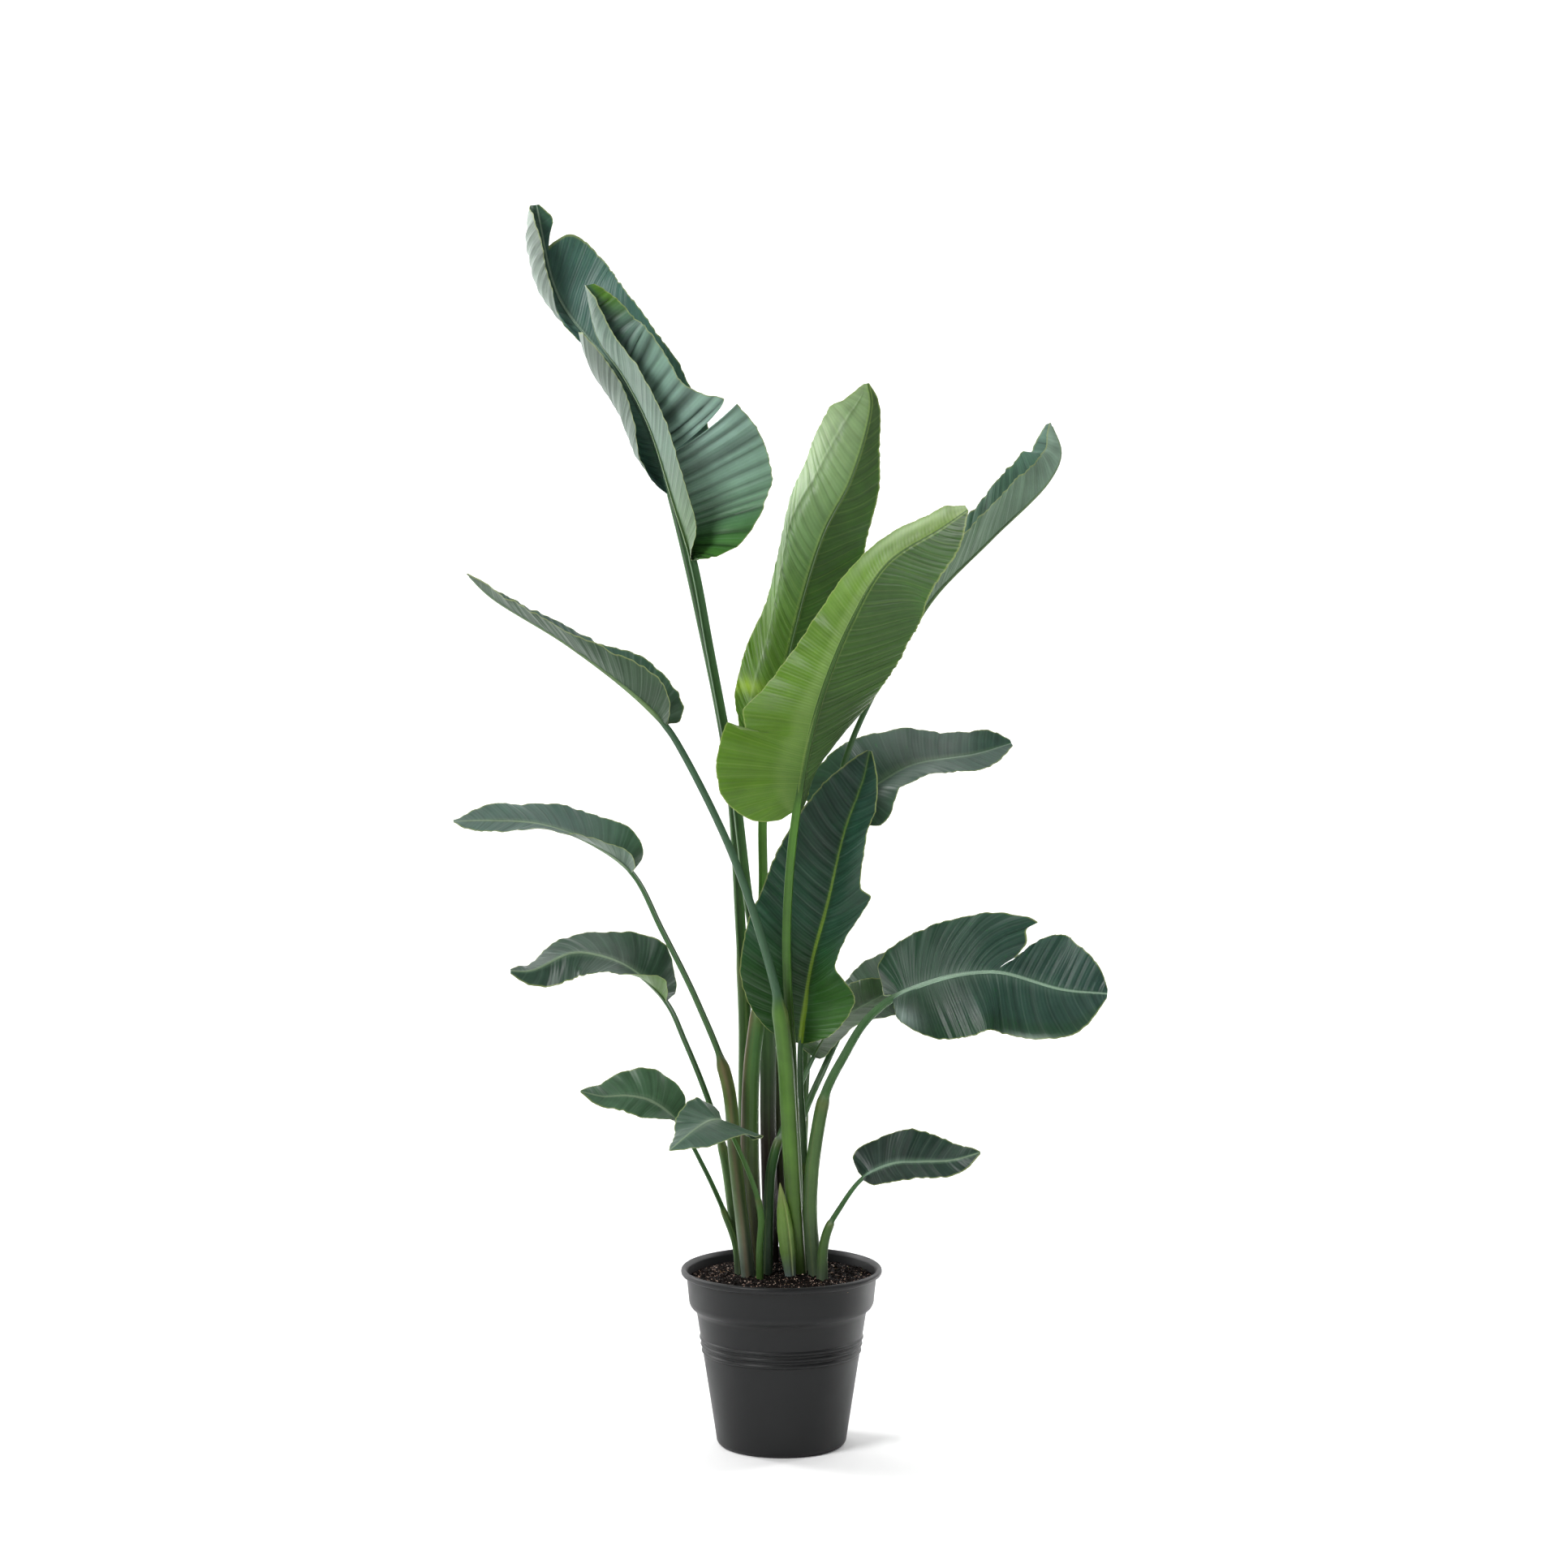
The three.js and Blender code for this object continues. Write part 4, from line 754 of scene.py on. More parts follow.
def leaf_skin(name, gloss, bloom, vein_code, vein_strength, depth_mm, glow):
    """A leaf's skin: gloss is its roughness, bloom its dusty sheen, and glow how much light it lets through."""
    made, tree, shader = new_material(name, {
        "IOR": 1.45, "Specular IOR Level": 0.38, "Subsurface Weight": glow, "Subsurface Radius": (0.6, 1.0, 0.2),
        "Subsurface Scale": 0.002, "Sheen Weight": bloom, "Sheen Roughness": 0.45, "Sheen Tint": srgb("#d8e2de")})
    tint = add_node(tree, "ShaderNodeAttribute", attribute_name="tint").outputs["Color"]
    vein = add_node(tree, "ShaderNodeAttribute", attribute_name="vein").outputs["Fac"]
    edge = add_node(tree, "ShaderNodeAttribute", attribute_name="edge").outputs["Fac"]
    place = add_node(tree, "ShaderNodeTexCoord").outputs["Object"]
    cloud = add_node(tree, "ShaderNodeTexNoise", {"Vector": place, "Scale": 60.0, "Detail": 4.0, "Roughness": 0.6})
    speck = add_node(tree, "ShaderNodeTexNoise", {"Vector": place, "Scale": 480.0, "Detail": 2.0})

    fine_turn = add_node(tree, "ShaderNodeMath", {0: vein, 1: 2 * math.pi / FINE_VEIN}, operation="MULTIPLY")
    fine = add_node(tree, "ShaderNodeMath", {0: fine_turn}, operation="COSINE")
    main_turn = add_node(tree, "ShaderNodeMath", {0: vein, 1: math.pi / MAIN_VEIN}, operation="MULTIPLY")
    main_wave = add_node(tree, "ShaderNodeMath", {0: main_turn}, operation="COSINE")
    main_size = add_node(tree, "ShaderNodeMath", {0: main_wave}, operation="ABSOLUTE")
    main = add_node(tree, "ShaderNodeMapRange", {"Value": main_size, "From Min": 0.975, "From Max": 1.0})

    mottle = add_node(tree, "ShaderNodeMapRange", {"Value": cloud.outputs["Fac"], "From Min": 0.3, "From Max": 0.7,
                                                   "To Min": 0.9, "To Max": 1.1})
    lined = add_node(tree, "ShaderNodeMath", {0: fine, 1: 0.035, 2: mottle},
                     operation="MULTIPLY_ADD")
    toned = add_node(tree, "ShaderNodeVectorMath", {0: tint, "Scale": lined}, operation="SCALE")
    share = add_node(tree, "ShaderNodeMath", {0: main, 1: vein_strength}, operation="MULTIPLY")
    veined = add_node(tree, "ShaderNodeMix", {0: share, 6: toned, 7: srgb(vein_code)},
                      data_type="RGBA")
    margin = add_node(tree, "ShaderNodeMapRange", {"Value": edge, "From Min": 0.3, "From Max": 1.0, "To Min": 0.6,
                                                   "To Max": 0.0})
    rimmed = add_node(tree, "ShaderNodeMix", {0: margin, 6: veined.outputs[2], 7: srgb("#8f9a5c")},
                      data_type="RGBA")
    tree.links.new(rimmed.outputs[2], shader.inputs["Base Color"])
    dullness = add_node(tree, "ShaderNodeMapRange", {"Value": cloud.outputs["Fac"], "From Min": 0.3, "From Max": 0.7,
                                                     "To Min": gloss - 0.05, "To Max": gloss + 0.07})
    tree.links.new(dullness.outputs[0], shader.inputs["Roughness"])
    ridges = add_node(tree, "ShaderNodeMath", {0: fine, 1: 0.5, 2: speck.outputs["Fac"]},
                      operation="MULTIPLY_ADD")
    relief = add_node(tree, "ShaderNodeBump", {"Height": ridges, "Strength": 0.6,
                                               "Distance": depth_mm * 0.001})
    tree.links.new(relief.outputs["Normal"], shader.inputs["Normal"])
    return made


MATURE_SKIN = (
    leaf_skin("waxy mature leaf, upper face", 0.42, 0.05, "#6f8576", 0.10, 0.10, 0.04),
    leaf_skin("bloomed mature leaf, underside", 0.5, 0.12, "#97a497", 0.14, 0.14, 0.04),
    leaf_skin("smooth leaf stalk", 0.4, 0.03, "#a9bb8b", 0.0, 0.08, 0.05),
)
YOUNG_SKIN = (
    leaf_skin("waxy young leaf, upper face", 0.42, 0.03, "#8fa65a", 0.1, 0.10, 0.1),
    leaf_skin("young leaf, underside", 0.5, 0.1, "#a6b685", 0.15, 0.14, 0.1),
    MATURE_SKIN[2],
)
# In a look, crease is the strength of the painted shade in the pleats' creases, and crest that of the painted
# highlight on their crests.
MATURE_LOOK = {
    "frill": 0.3, "wave": 0.8, "wave_length": 34, "pleat": 0.5, "pleat_spacing": 7.6, "streak": 0.06,
    "upper": [(0, "#36523a"), (0.4, "#39564b"), (1, "#40594e")],
    "under": [(0, "#54695a"), (0.5, "#627464"), (1, "#6d7c70")], "rib": "#5f7a4a", "rib_tip": "#6c8064",
    "rib_glow": 0.3, "stalk": [(0, "#3a5a26"), (0.5, "#35552a"), (1, "#395a35")],
    "sheath": [(0, "#50604a"), (0.4, "#43602f"), (1, "#3f5f2b")], "lip": "#5f6238", "marks": [], "bands": [],
    "crease": 0.3, "crest": 0.0, "rib_width": 1.1, "rib_edge": "#3c5a44", "blush": [],
}
YOUNG_LOOK = {
    **MATURE_LOOK, "pleat": 0.3, "pleat_spacing": 7.5,
    "upper": [(0, "#466a1c"), (0.5, "#4c7028"), (1, "#5f7d3e")],
    "under": [(0, "#607c38"), (0.5, "#6e8450"), (1, "#809064")],
    # A young leaf's midrib is a dark line with pale borders: painted shade in its groove and a painted highlight on
    # the groove's lips.
    "rib": "#2c4a16", "rib_tip": "#3a5a24", "rib_edge": "#86a052", "rib_width": 0.9,
    "stalk": [(0, "#33501f"), (0.5, "#34531f"), (1, "#456e24")],
}


def grow_leaf(name, foot, stalk, rib, faces, left, right, girth, sheath, seed, fold=(0, 0), skin=MATURE_SKIN,
              look=None, left_look=None, right_look=None, base=MATURE_LOOK):
    """One leaf's finished piece. The looks say what differs from the base look, and in which half."""
    look = {**base, **(look or {})}
    stalk_line, rib_line = centre_line(foot, stalk, rib, faces)
    gathered = Skin()
    stalk_skin(gathered, stalk_line, rib_line, foot, faces, girth, sheath, look, seed)
    blade_half(gathered, rib_line, left, 1, fold[0], {**look, **(left_look or {})}, seed)
    blade_half(gathered, rib_line, right, -1, fold[1], {**look, **(right_look or {})}, seed + 50)
    leaf = add_object(name, gathered.mesh(name, skin))
    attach(leaf, "root")
    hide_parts("leaf_" + name)


# ---------- rear leaves ----------
# Four old leaves whose feet stand at the back of the pot. Two rise straight to the plant's top on the left, one
# rolled into a long hood and one pleated along its veins; two lean out behind on the right, folded and drooping.
grow_leaf(
    "rear_left_tall", foot=[-17, 30],
    stalk=[[-22, 31, 156], [-25, 31, 218], [-25, 30, 286], [-28, 30, 348], [-36, 35, 459], [-57.5, 50, 569]],
    rib=[[-76, 58, 646], [-87, 62, 683], [-101, 66, 713], [-118, 70, 737], [-153, 78, 782], [-169, 84, 846]],
    faces=[[0.5, -0.8, 0.3], [0.55, -0.75, 0.3], [0.6, -0.7, 0.2]],
    left=[
      [
        [0.02, 3, 0, 0], [0.05, 12, 10, 20], [0.1, 22, 20, 40], [0.15, 32, 30, 90], [0.22, 41, 38, 140],
        [0.35, 45, 48, 155], [0.46, 47, 50, 155], [0.54, 46, 50, 150], [0.565, 30, 44, 120],
      ],
      [
        [0.57, 11, 10, 10], [0.63, 12, 16, 30], [0.69, 17, 34, 100], [0.76, 26, 46, 170], [0.84, 34, 48, 190],
        [0.92, 32, 44, 190], [0.97, 22, 36, 170], [1, 6, 10, 60],
      ],
    ],
    right=[[
      [0, 6, 60, 20], [0, 26, 60, 20], [0.08, 40, 62, 10], [0.28, 46, 72, 0], [0.45, 42, 62, -10],
      [0.7, 41, 42, -10], [0.88, 25, 36, 0], [0.895, 17, 36, 0], [0.87, 3, 36, 0], [0.9, 5, 36, 0],
      [0.95, 9, 36, 0], [0.98, 5, 36, 0], [1, 2, 20, 0],
    ]],
    girth=[2.6, 3.8, 5], sheath=[324, 4.6], seed=200,
    # The upper side darkens to its base as painted shade.
    look={"upper": [(0, "#1c3830"), (0.3, "#40645a"), (0.9, "#3c5e54"), (1, "#2f5238")],
          "under": [(0, "#66766c"), (0.5, "#77847a"), (0.75, "#86938a"), (1, "#93a096")],
          "rib": "#6d8a78", "rib_tip": "#8aa08a", "rib_edge": "#2c463c", "pleat": 0.3, "streak": 0.04,
          "sheath": [(0, "#3a3426"), (0.4, "#3c5a26"), (1, "#3c5c2a")]},
    left_look={"pleat": 1.1, "pleat_spacing": 8.0, "crease": 0.6},
)
grow_leaf(
    "rear_left_pleated", foot=[-7, 40],
    stalk=[
      [-8, 37, 155], [-9.2, 31, 218], [-9.4, 27, 266], [-12, 23, 306], [-22.5, 19, 370], [-32, 18, 449],
      [-48.8, 22, 543],
    ],
    rib=[[-60.2, 24, 603], [-72, 20, 641], [-89, 15, 694], [-106, 11, 727], [-123, 8, 752], [-131, 8, 787]],
    faces=[[0.35, -0.9, 0.15], [0.45, -0.85, 0.2], [0.6, -0.7, 0.1]],
    left=[[
      [0, 5, 60, 0], [0.04, 20, 70, 10], [0.15, 27, 88, 10], [0.33, 30, 84, 10], [0.58, 27, 84, 20],
      [0.8, 19, 90, 20], [0.94, 14, 76, 50], [1, 6, 50, 40],
    ]],
    right=[
      [
        [0, 6, 100, 0], [0, 18, 95, 0], [0, 33, 80, 0], [0.02, 44, 62, 0], [0.06, 51, 50, 0],
        [0.11, 58, 32, 0], [0.18, 68, 26, 0], [0.27, 70, 25, 0], [0.36, 68, 30, 0], [0.45, 62, 42, 0],
      ],
      [
        [0.453, 50, 45, 0], [0.473, 55, 46, 0], [0.5, 46, 48, 0], [0.54, 38, 52, 0], [0.58, 34, 54, 0],
        [0.66, 33, 50, 0], [0.78, 31, 40, 0], [0.87, 26, 38, 0], [0.94, 19, 38, 0], [1, 6, 24, 0],
      ],
    ],
    girth=[2.7, 3.5, 5.4], sheath=[326, 5.8], seed=300,
    # The sheath is near black at its foot: dead brown tissue, darkened further as painted shade in the hollow between
    # the stalks.
    look={"sheath": [(0, "#1c120c"), (0.4, "#20180e"), (0.62, "#2c4420"), (1, "#3c6430")], "lip": "#3c5226",
          "rib_edge": "#4a6a4a"},
    left_look={"under": [(0, "#486a38"), (0.15, "#4c6a44"), (0.4, "#56705f"), (1, "#65796d")], "pleat": 0.7,
               "crease": 0.5},
    # In the right half, the bright green spot at the hooded tip is painted light shining through it, and the dark
    # teal patch by the midrib below the tip is painted shade inside the hood.
    right_look={"pleat": 2.0, "pleat_spacing": 9.4, "crease": 0.75, "crest": 0.35,
                "upper": [(0, "#2f5a1c"), (0.06, "#355f2e"), (0.14, "#5a7a62"), (0.22, "#6a8876"), (0.4, "#769286"),
                          (0.7, "#6a8678"), (1, "#2c4a44")],
                "marks": [(0.97, 0.8, 0.08, 0.5, "#4f7a20", 0.95), (0.8, 0.3, 0.14, 0.35, "#1c3632", 0.85),
                          (0.55, 0.2, 0.12, 0.3, "#3c5a4c", 0.3)]},
)
grow_leaf(
    "rear_right_folded", foot=[4, 41],
    stalk=[
      [1, 42, 160], [-2.5, 42, 217], [-0.5, 39, 262], [11, 36, 306], [32, 38, 410], [43, 40, 464],
      [60, 45, 505],
    ],
    rib=[[85, 54, 547], [106, 64, 578], [145, 80, 616], [187, 97, 657], [195, 102, 676], [188, 107, 697]],
    faces=[[-0.75, 0.3, 0.5], [-0.75, 0.25, 0.5], [-0.8, 0.2, 0.3]],
    left=[[
      [0, 3, 40, 0], [0.03, 14, 40, 10], [0.15, 22, 45, 10], [0.35, 26, 65, 10], [0.52, 25, 85, 10],
      [0.68, 28, 98, 10], [0.82, 27, 98, 10], [0.94, 19, 92, 0], [1, 4, 80, 0],
    ]],
    right=[[
      [0, 3, 10, 0], [0.02, 14, 15, 10], [0.12, 23, 18, 20], [0.25, 26, 20, 20], [0.45, 26, 22, 20],
      [0.6, 23, 35, 20], [0.72, 20, 48, 20], [0.85, 14, 70, 10], [0.95, 8, 80, 0], [1, 1, 60, 0],
    ]],
    girth=[2.5, 3.1, 4.4], sheath=[272, 5], seed=400,
    look={"upper": [(0, "#44644c"), (1, "#58786a")], "under": [(0, "#3c5a38"), (0.35, "#5c785c"), (1, "#7c9484")],
          "pleat": 0.6, "pleat_spacing": 9.0, "crease": 0.4, "streak": 0.1,
          "sheath": [(0, "#241a12"), (0.5, "#2c3018"), (1, "#3c4c24")], "lip": "#4a4c2c"},
)
grow_leaf(
    "rear_right_drooping", foot=[12, 33],
    stalk=[[13, 34, 161], [15, 38, 217], [18, 44, 267], [22, 50, 322], [34, 60, 400]],
    rib=[[43, 66, 428], [55, 72, 438], [68, 78, 446], [91, 88, 458], [137, 104, 465], [162, 110, 472]],
    faces=[[-0.4, -0.6, 0.7], [-0.2, -0.55, 0.8], [-0.1, -0.5, 0.85]],
    left=[[
      [0, 3, 0, 0], [-0.06, 14, 20, 0], [-0.06, 26, 40, 0], [0.04, 34, 45, 0], [0.16, 37, 44, -10],
      [0.3, 38, 28, -10], [0.5, 36, 12, -10], [0.7, 29, 6, 0], [0.86, 19, 20, 0], [0.95, 11, 40, 0],
      [1, 3, 40, 0],
    ]],
    right=[[
      [0, 3, 0, 0], [-0.04, 14, -5, 0], [0, 23, -20, -10], [0.09, 30, -12, -20], [0.18, 33, 10, -30],
      [0.25, 34, 24, -30], [0.4, 33, 21, -30], [0.6, 28, 15, -20], [0.82, 19, 2, -10],
      [0.93, 11, 0, 0], [1, 3, 0, 0],
    ]],
    girth=[2.3, 3, 4.2], sheath=[220, 3.6], seed=500,
    look={"upper": [(0, "#2f4a3a"), (1, "#3a5449")], "rib": "#7f9878", "rib_tip": "#84988a", "pleat": 0.3},
)


# ---------- middle leaves ----------
# Two young leaves, still yellow-green and thin, that unrolled last. They stand up straight from the middle, and the
# margin of each keeps some of the curl that it had when it was rolled up.
grow_leaf(
    "middle_tall_young", foot=[-15, 8],
    stalk=[[-20.5, 6, 166], [-21.5, 2, 223], [-20, 0, 262], [-16, 0, 298], [-12.5, 0, 379]],
    rib=[[-12, 0, 442], [2, 0, 530], [27, 4, 619], [47, 8, 659], [60, 12, 707], [58, 12, 722]],
    faces=[[0, -1, 0.1], [-0.1, -1, 0.1], [-0.1, -1, 0.1]],
    left=[[
      [0, 3, 20, 0], [0.01, 12, 20, 0], [0.08, 18, 18, 0], [0.16, 23, 15, -10], [0.24, 31, 12, -30],
      [0.33, 32, 12, -45], [0.45, 29, 10, -60], [0.6, 35, 8, -65], [0.72, 44, 6, -62], [0.82, 42, 5, -55],
      [0.91, 33, 5, -40], [0.97, 19, 5, 0], [1, 3, 0, 0],
    ]],
    right=[[
      [0, 3, -10, 0], [0, 20, -10, 0], [0.1, 34, -15, 0], [0.25, 40, -20, 0], [0.42, 40, -25, 0],
      [0.55, 37, -25, 0], [0.67, 31, -30, 0], [0.78, 22, -30, 0], [0.88, 12, -35, 0], [0.95, 7, -35, 0],
      [1, 1, -20, 0],
    ]],
    fold=[0.47, 0],
    girth=[3, 3.4, 7], sheath=[295, 5.4], seed=600,
    skin=YOUNG_SKIN, base=YOUNG_LOOK,
    look={"sheath": [(0, "#3c3428"), (0.3, "#45502c"), (0.6, "#3f5f28"), (1, "#3c6430")], "lip": "#55602f",
          "blush": [("#6a5347", 8, 26, 0.85), ("#5a4434", 40, 20, 0.35)]},
    # The dark line and the pale line in the bands are painted shade and a painted highlight along the fold. The pale
    # marks near the tip are painted highlights where the bent-back band and the inner part face the light. The thin
    # yellow-green mark low down is a painted highlight on the crease where the basal lobe rolls over.
    left_look={"upper": [(0, "#46661a"), (0.15, "#4c6e18"), (0.4, "#527628"), (0.6, "#638450"), (1, "#7c9468")],
               "pleat": 0.75, "pleat_spacing": 8.0, "crease": 0.42,
               "bands": [(0.5, 0.55, 0.02, "#33501c", 0.75), (0.57, 0.6, 0.02, "#b9c9aa", 0.35)],
               "marks": [(0.8, 0.85, 0.22, 0.2, "#a9bc94", 0.45), (0.85, 0.35, 0.2, 0.25, "#86a070", 0.5),
                         (0.3, 0.25, 0.2, 0.3, "#3c5a1e", 0.5), (0.36, 0.85, 0.13, 0.35, "#4a6e12", 0.85),
                         (0.12, 0.8, 0.1, 0.4, "#4f7232", 0.6), (0.25, 0.8, 0.018, 0.5, "#92b034", 0.7)]},
    right_look={"upper": [(0, "#2c4a12"), (0.6, "#33521c"), (1, "#41592f")], "pleat": 0.15, "pleat_spacing": 4.0},
)
grow_leaf(
    "middle_front_young", foot=[6, 5.5],
    stalk=[[10.5, 1, 167], [8.5, -7, 225], [7, -18, 272], [4, -27, 322], [4, -37, 372]],
    rib=[[10, -46, 438], [25, -57, 511], [46, -65, 565], [69, -72, 603], [104, -79, 626], [121, -82, 638]],
    faces=[[-0.2, -1, 0.05], [-0.35, -0.9, 0.1], [-0.5, -0.8, 0.3]],
    left=[[
      [0, 3, 0, 0], [-0.035, 12, 5, 0], [-0.045, 26, 8, 0], [-0.02, 42, 10, 0], [0.03, 53, 12, 0],
      [0.1, 58, 12, 0], [0.2, 56, 12, 0], [0.185, 42, 10, 0], [0.235, 48, 6, 0], [0.28, 42, 0, 0],
      [0.34, 36, -5, 0], [0.47, 28, -10, 0], [0.6, 24, -12, -10], [0.74, 18, -10, -30],
      [0.87, 15, -5, -40], [0.95, 12, 0, -40], [1, 4, 0, 0],
    ]],
    right=[[
      [0, 3, -30, 0], [0.03, 6, -40, -40], [0.1, 9, -45, -80], [0.17, 14, -48, -80], [0.24, 25, -45, -60],
      [0.33, 34, -40, -30], [0.42, 38, -34, -10], [0.53, 40, -27, 0], [0.63, 40, -22, 0], [0.69, 39, -18, 0],
      [0.76, 36, -14, 0], [0.87, 26, -10, 0], [0.95, 14, -5, 0], [1, 1, 0, 0],
    ]],
    girth=[2.9, 3.2, 4.2], sheath=[230, 3.6], seed=700,
    skin=YOUNG_SKIN, base=YOUNG_LOOK,
    # The pale band by the midrib is a painted sheen, and the pale mark near the tip is a painted highlight.
    left_look={"upper": [(0, "#4a6c16"), (0.4, "#507416"), (0.75, "#587a22"), (0.92, "#6a863c"), (1, "#8a9c70")],
               "pleat": 0.13, "pleat_spacing": 9.0, "crease": 0.16, "streak": 0.02,
               "bands": [(0.03, 0.3, 0.1, "#7f995a", 0.3)],
               "marks": [(0.85, 0.75, 0.16, 0.22, "#a9bc94", 0.75), (0.08, 0.1, 0.12, 0.2, "#3c5c10", 0.6)]},
    right_look={"upper": [(0, "#2f4d1a"), (0.5, "#35521f"), (1, "#3c5a2c")], "pleat": 0.5, "pleat_spacing": 3.9,
                "crease": 0.35},
)


# ---------- right shoot ----------
# The right-hand shoot's leaves: one reaches far to the left, folded like a canoe, a broad one stands upright, a
# torn one leans to the right, one hangs behind, and a small low one reaches over the lip.
grow_leaf(
    "right_shoot_left", foot=[12, -4],
    stalk=[
      [8.8, -10, 169], [5.6, -20, 226], [2.6, -28.5, 275], [-3, -33, 314], [-31, -40, 405], [-66, -42, 478],
    ],
    rib=[[-77, -42, 495], [-99, -46, 517], [-142, -54, 550], [-191, -62, 581], [-206, -66, 596]],
    faces=[[0.6, 0.3, 0.7], [0.5, 0.3, 0.8], [0.5, 0.2, 0.8]],
    left=[[
      [0, 4, 0, 0], [0.03, 16, 10, 20], [0.1, 23, 28, 20], [0.2, 26, 32, 20], [0.4, 24, 16, 20],
      [0.6, 20, 6, 10], [0.8, 14, 14, 10], [0.92, 8, 24, 0], [1, 1, 30, 0],
    ]],
    right=[[
      [0, 4, 60, 0], [-0.03, 12, 60, 20], [0.03, 20, 90, 20], [0.11, 25, 82, 20], [0.25, 27, 70, 20],
      [0.4, 25, 44, 10], [0.6, 20, 40, 10], [0.8, 13, 40, 0], [0.92, 8, 40, 0], [1, 1, 40, 0],
    ]],
    girth=[2.9, 3.8, 6.2], sheath=[304, 6.1], seed=800,
    look={"under": [(0, "#2c442c"), (0.5, "#38503a"), (1, "#4a5a4c")], "pleat": 0.8,
          "sheath": [(0, "#4c5a38"), (0.25, "#456420"), (0.7, "#3c601c"), (1, "#3c5c22")], "lip": "#7c8a4c",
          "stalk": [(0, "#3a5a2c"), (0.5, "#34543a"), (1, "#345238")], "blush": [("#527a26", 330, 40, 0.5)]},
)
grow_leaf(
    "right_shoot_broad", foot=[15, 9],
    stalk=[[16, 8, 167], [15, 3, 212], [13, -5, 247]],
    rib=[[13, -12, 278], [21, -15, 333], [32, -17, 376], [43, -20, 424], [55, -22, 458], [59, -24, 477]],
    faces=[[0, -1, 0], [-0.1, -1, 0.05], [0, -1, 0.1]],
    left=[[
      [0, 3, 10, 0], [0.03, 20, 12, -10], [0.08, 33, 8, -20], [0.14, 42, 6, -20], [0.22, 48, 5, -20],
      [0.33, 49, 5, -10], [0.45, 46, 5, -10], [0.57, 43, 5, -10], [0.68, 37, 8, 0], [0.78, 30, 14, 0],
      [0.88, 22, 12, 0], [0.95, 13, 8, 0], [1, 2, 0, 0],
    ]],
    right=[[
      [0, 3, 30, 0], [0.04, 20, 26, 0], [0.12, 32, 24, 0], [0.19, 37, 28, 0], [0.25, 38, 48, 0],
      [0.31, 38, 64, 0], [0.4, 38, 60, 0], [0.49, 39, 50, 0], [0.55, 40, 44, 0], [0.57, 34, 52, 0],
      [0.66, 32, 56, 0], [0.76, 27, 56, 0], [0.84, 21, 46, 0], [0.92, 13, 46, 0], [1, 2, 40, 0],
    ]],
    girth=[1.9, 2.2, 4], sheath=[190, 3.2], seed=900,
    look={"rib": "#7f9f24", "rib_tip": "#4f6c3c", "rib_glow": 0.0, "rib_width": 1.7, "rib_edge": "#2c5220",
          "upper": [(0, "#17400a"), (0.22, "#163c12"), (0.4, "#1a3d2a"), (1, "#1b3a2e")], "crease": 0.35},
    left_look={"pleat": 0.7, "pleat_spacing": 8.0},
    right_look={"marks": [(0.06, 0.8, 0.2, 0.5, "#2c5a12", 0.9)]},
)
grow_leaf(
    "right_shoot_torn", foot=[23, -9],
    stalk=[
      [19.5, -14, 159], [20.5, -18, 190], [24, -22, 218], [30, -27, 247], [42, -32, 272], [56, -38, 296],
    ],
    rib=[
      [74, -46, 313], [104, -56, 327], [125, -61, 332], [145, -65, 333], [185, -74, 323], [214, -80, 321],
    ],
    faces=[[-0.1, -0.75, 0.65], [0, -0.8, 0.6], [0.1, -0.9, 0.4]],
    left=[
      [
        [0, 3, 0, 0], [-0.05, 10, -20, 0], [-0.06, 22, -25, 0], [-0.02, 28, 0, 0], [0.06, 35, 8, 0],
        [0.2, 41, 2, -10], [0.32, 44, 0, -10], [0.46, 44, 4, -10], [0.6, 41, 6, -10], [0.57, 34, 6, 0],
        [0.585, 25, 6, 0], [0.56, 12, 6, 0],
      ],
      [
        [0.565, 11, 6, 0], [0.6, 23, 8, 0], [0.66, 33, 8, -10], [0.74, 37, 8, -10], [0.83, 32, 14, 0],
        [0.91, 25, 16, 0], [0.97, 14, 14, 0], [1, 3, 10, 0],
      ],
    ],
    right=[[
      [0, 3, 20, 0], [0.02, 20, 25, 0], [0.06, 34, 25, 0], [0.12, 40, 10, -10], [0.22, 44, -5, -10],
      [0.36, 45, -8, -10], [0.48, 43, -2, -10], [0.61, 40, -14, -10], [0.75, 36, -22, -10],
      [0.86, 29, -20, 0], [0.94, 18, -18, 0], [1, 3, -10, 0],
    ]],
    girth=[2.6, 3.3, 5], sheath=[240, 4.6], seed=1000,
    look={"upper": [(0, "#183824"), (0.5, "#223f33"), (1, "#26433a")], "rib": "#84a088", "rib_tip": "#84a088",
          "rib_glow": 0.1, "rib_width": 1.2, "rib_edge": "#2a4838"},
    left_look={"pleat": 0.9, "pleat_spacing": 7.0},
    right_look={"pleat": 0.5, "pleat_spacing": 9.0, "bands": [(0.75, 1.1, 0.1, "#1a3a22", 0.6)],
                "marks": [(0.2, 0.35, 0.12, 0.3, "#16341c", 0.5), (0.07, 0.8, 0.05, 0.25, "#8fa39c", 0.5),
                          (0.72, 1.0, 0.09, 0.06, "#a9b8b0", 0.6)]},
)
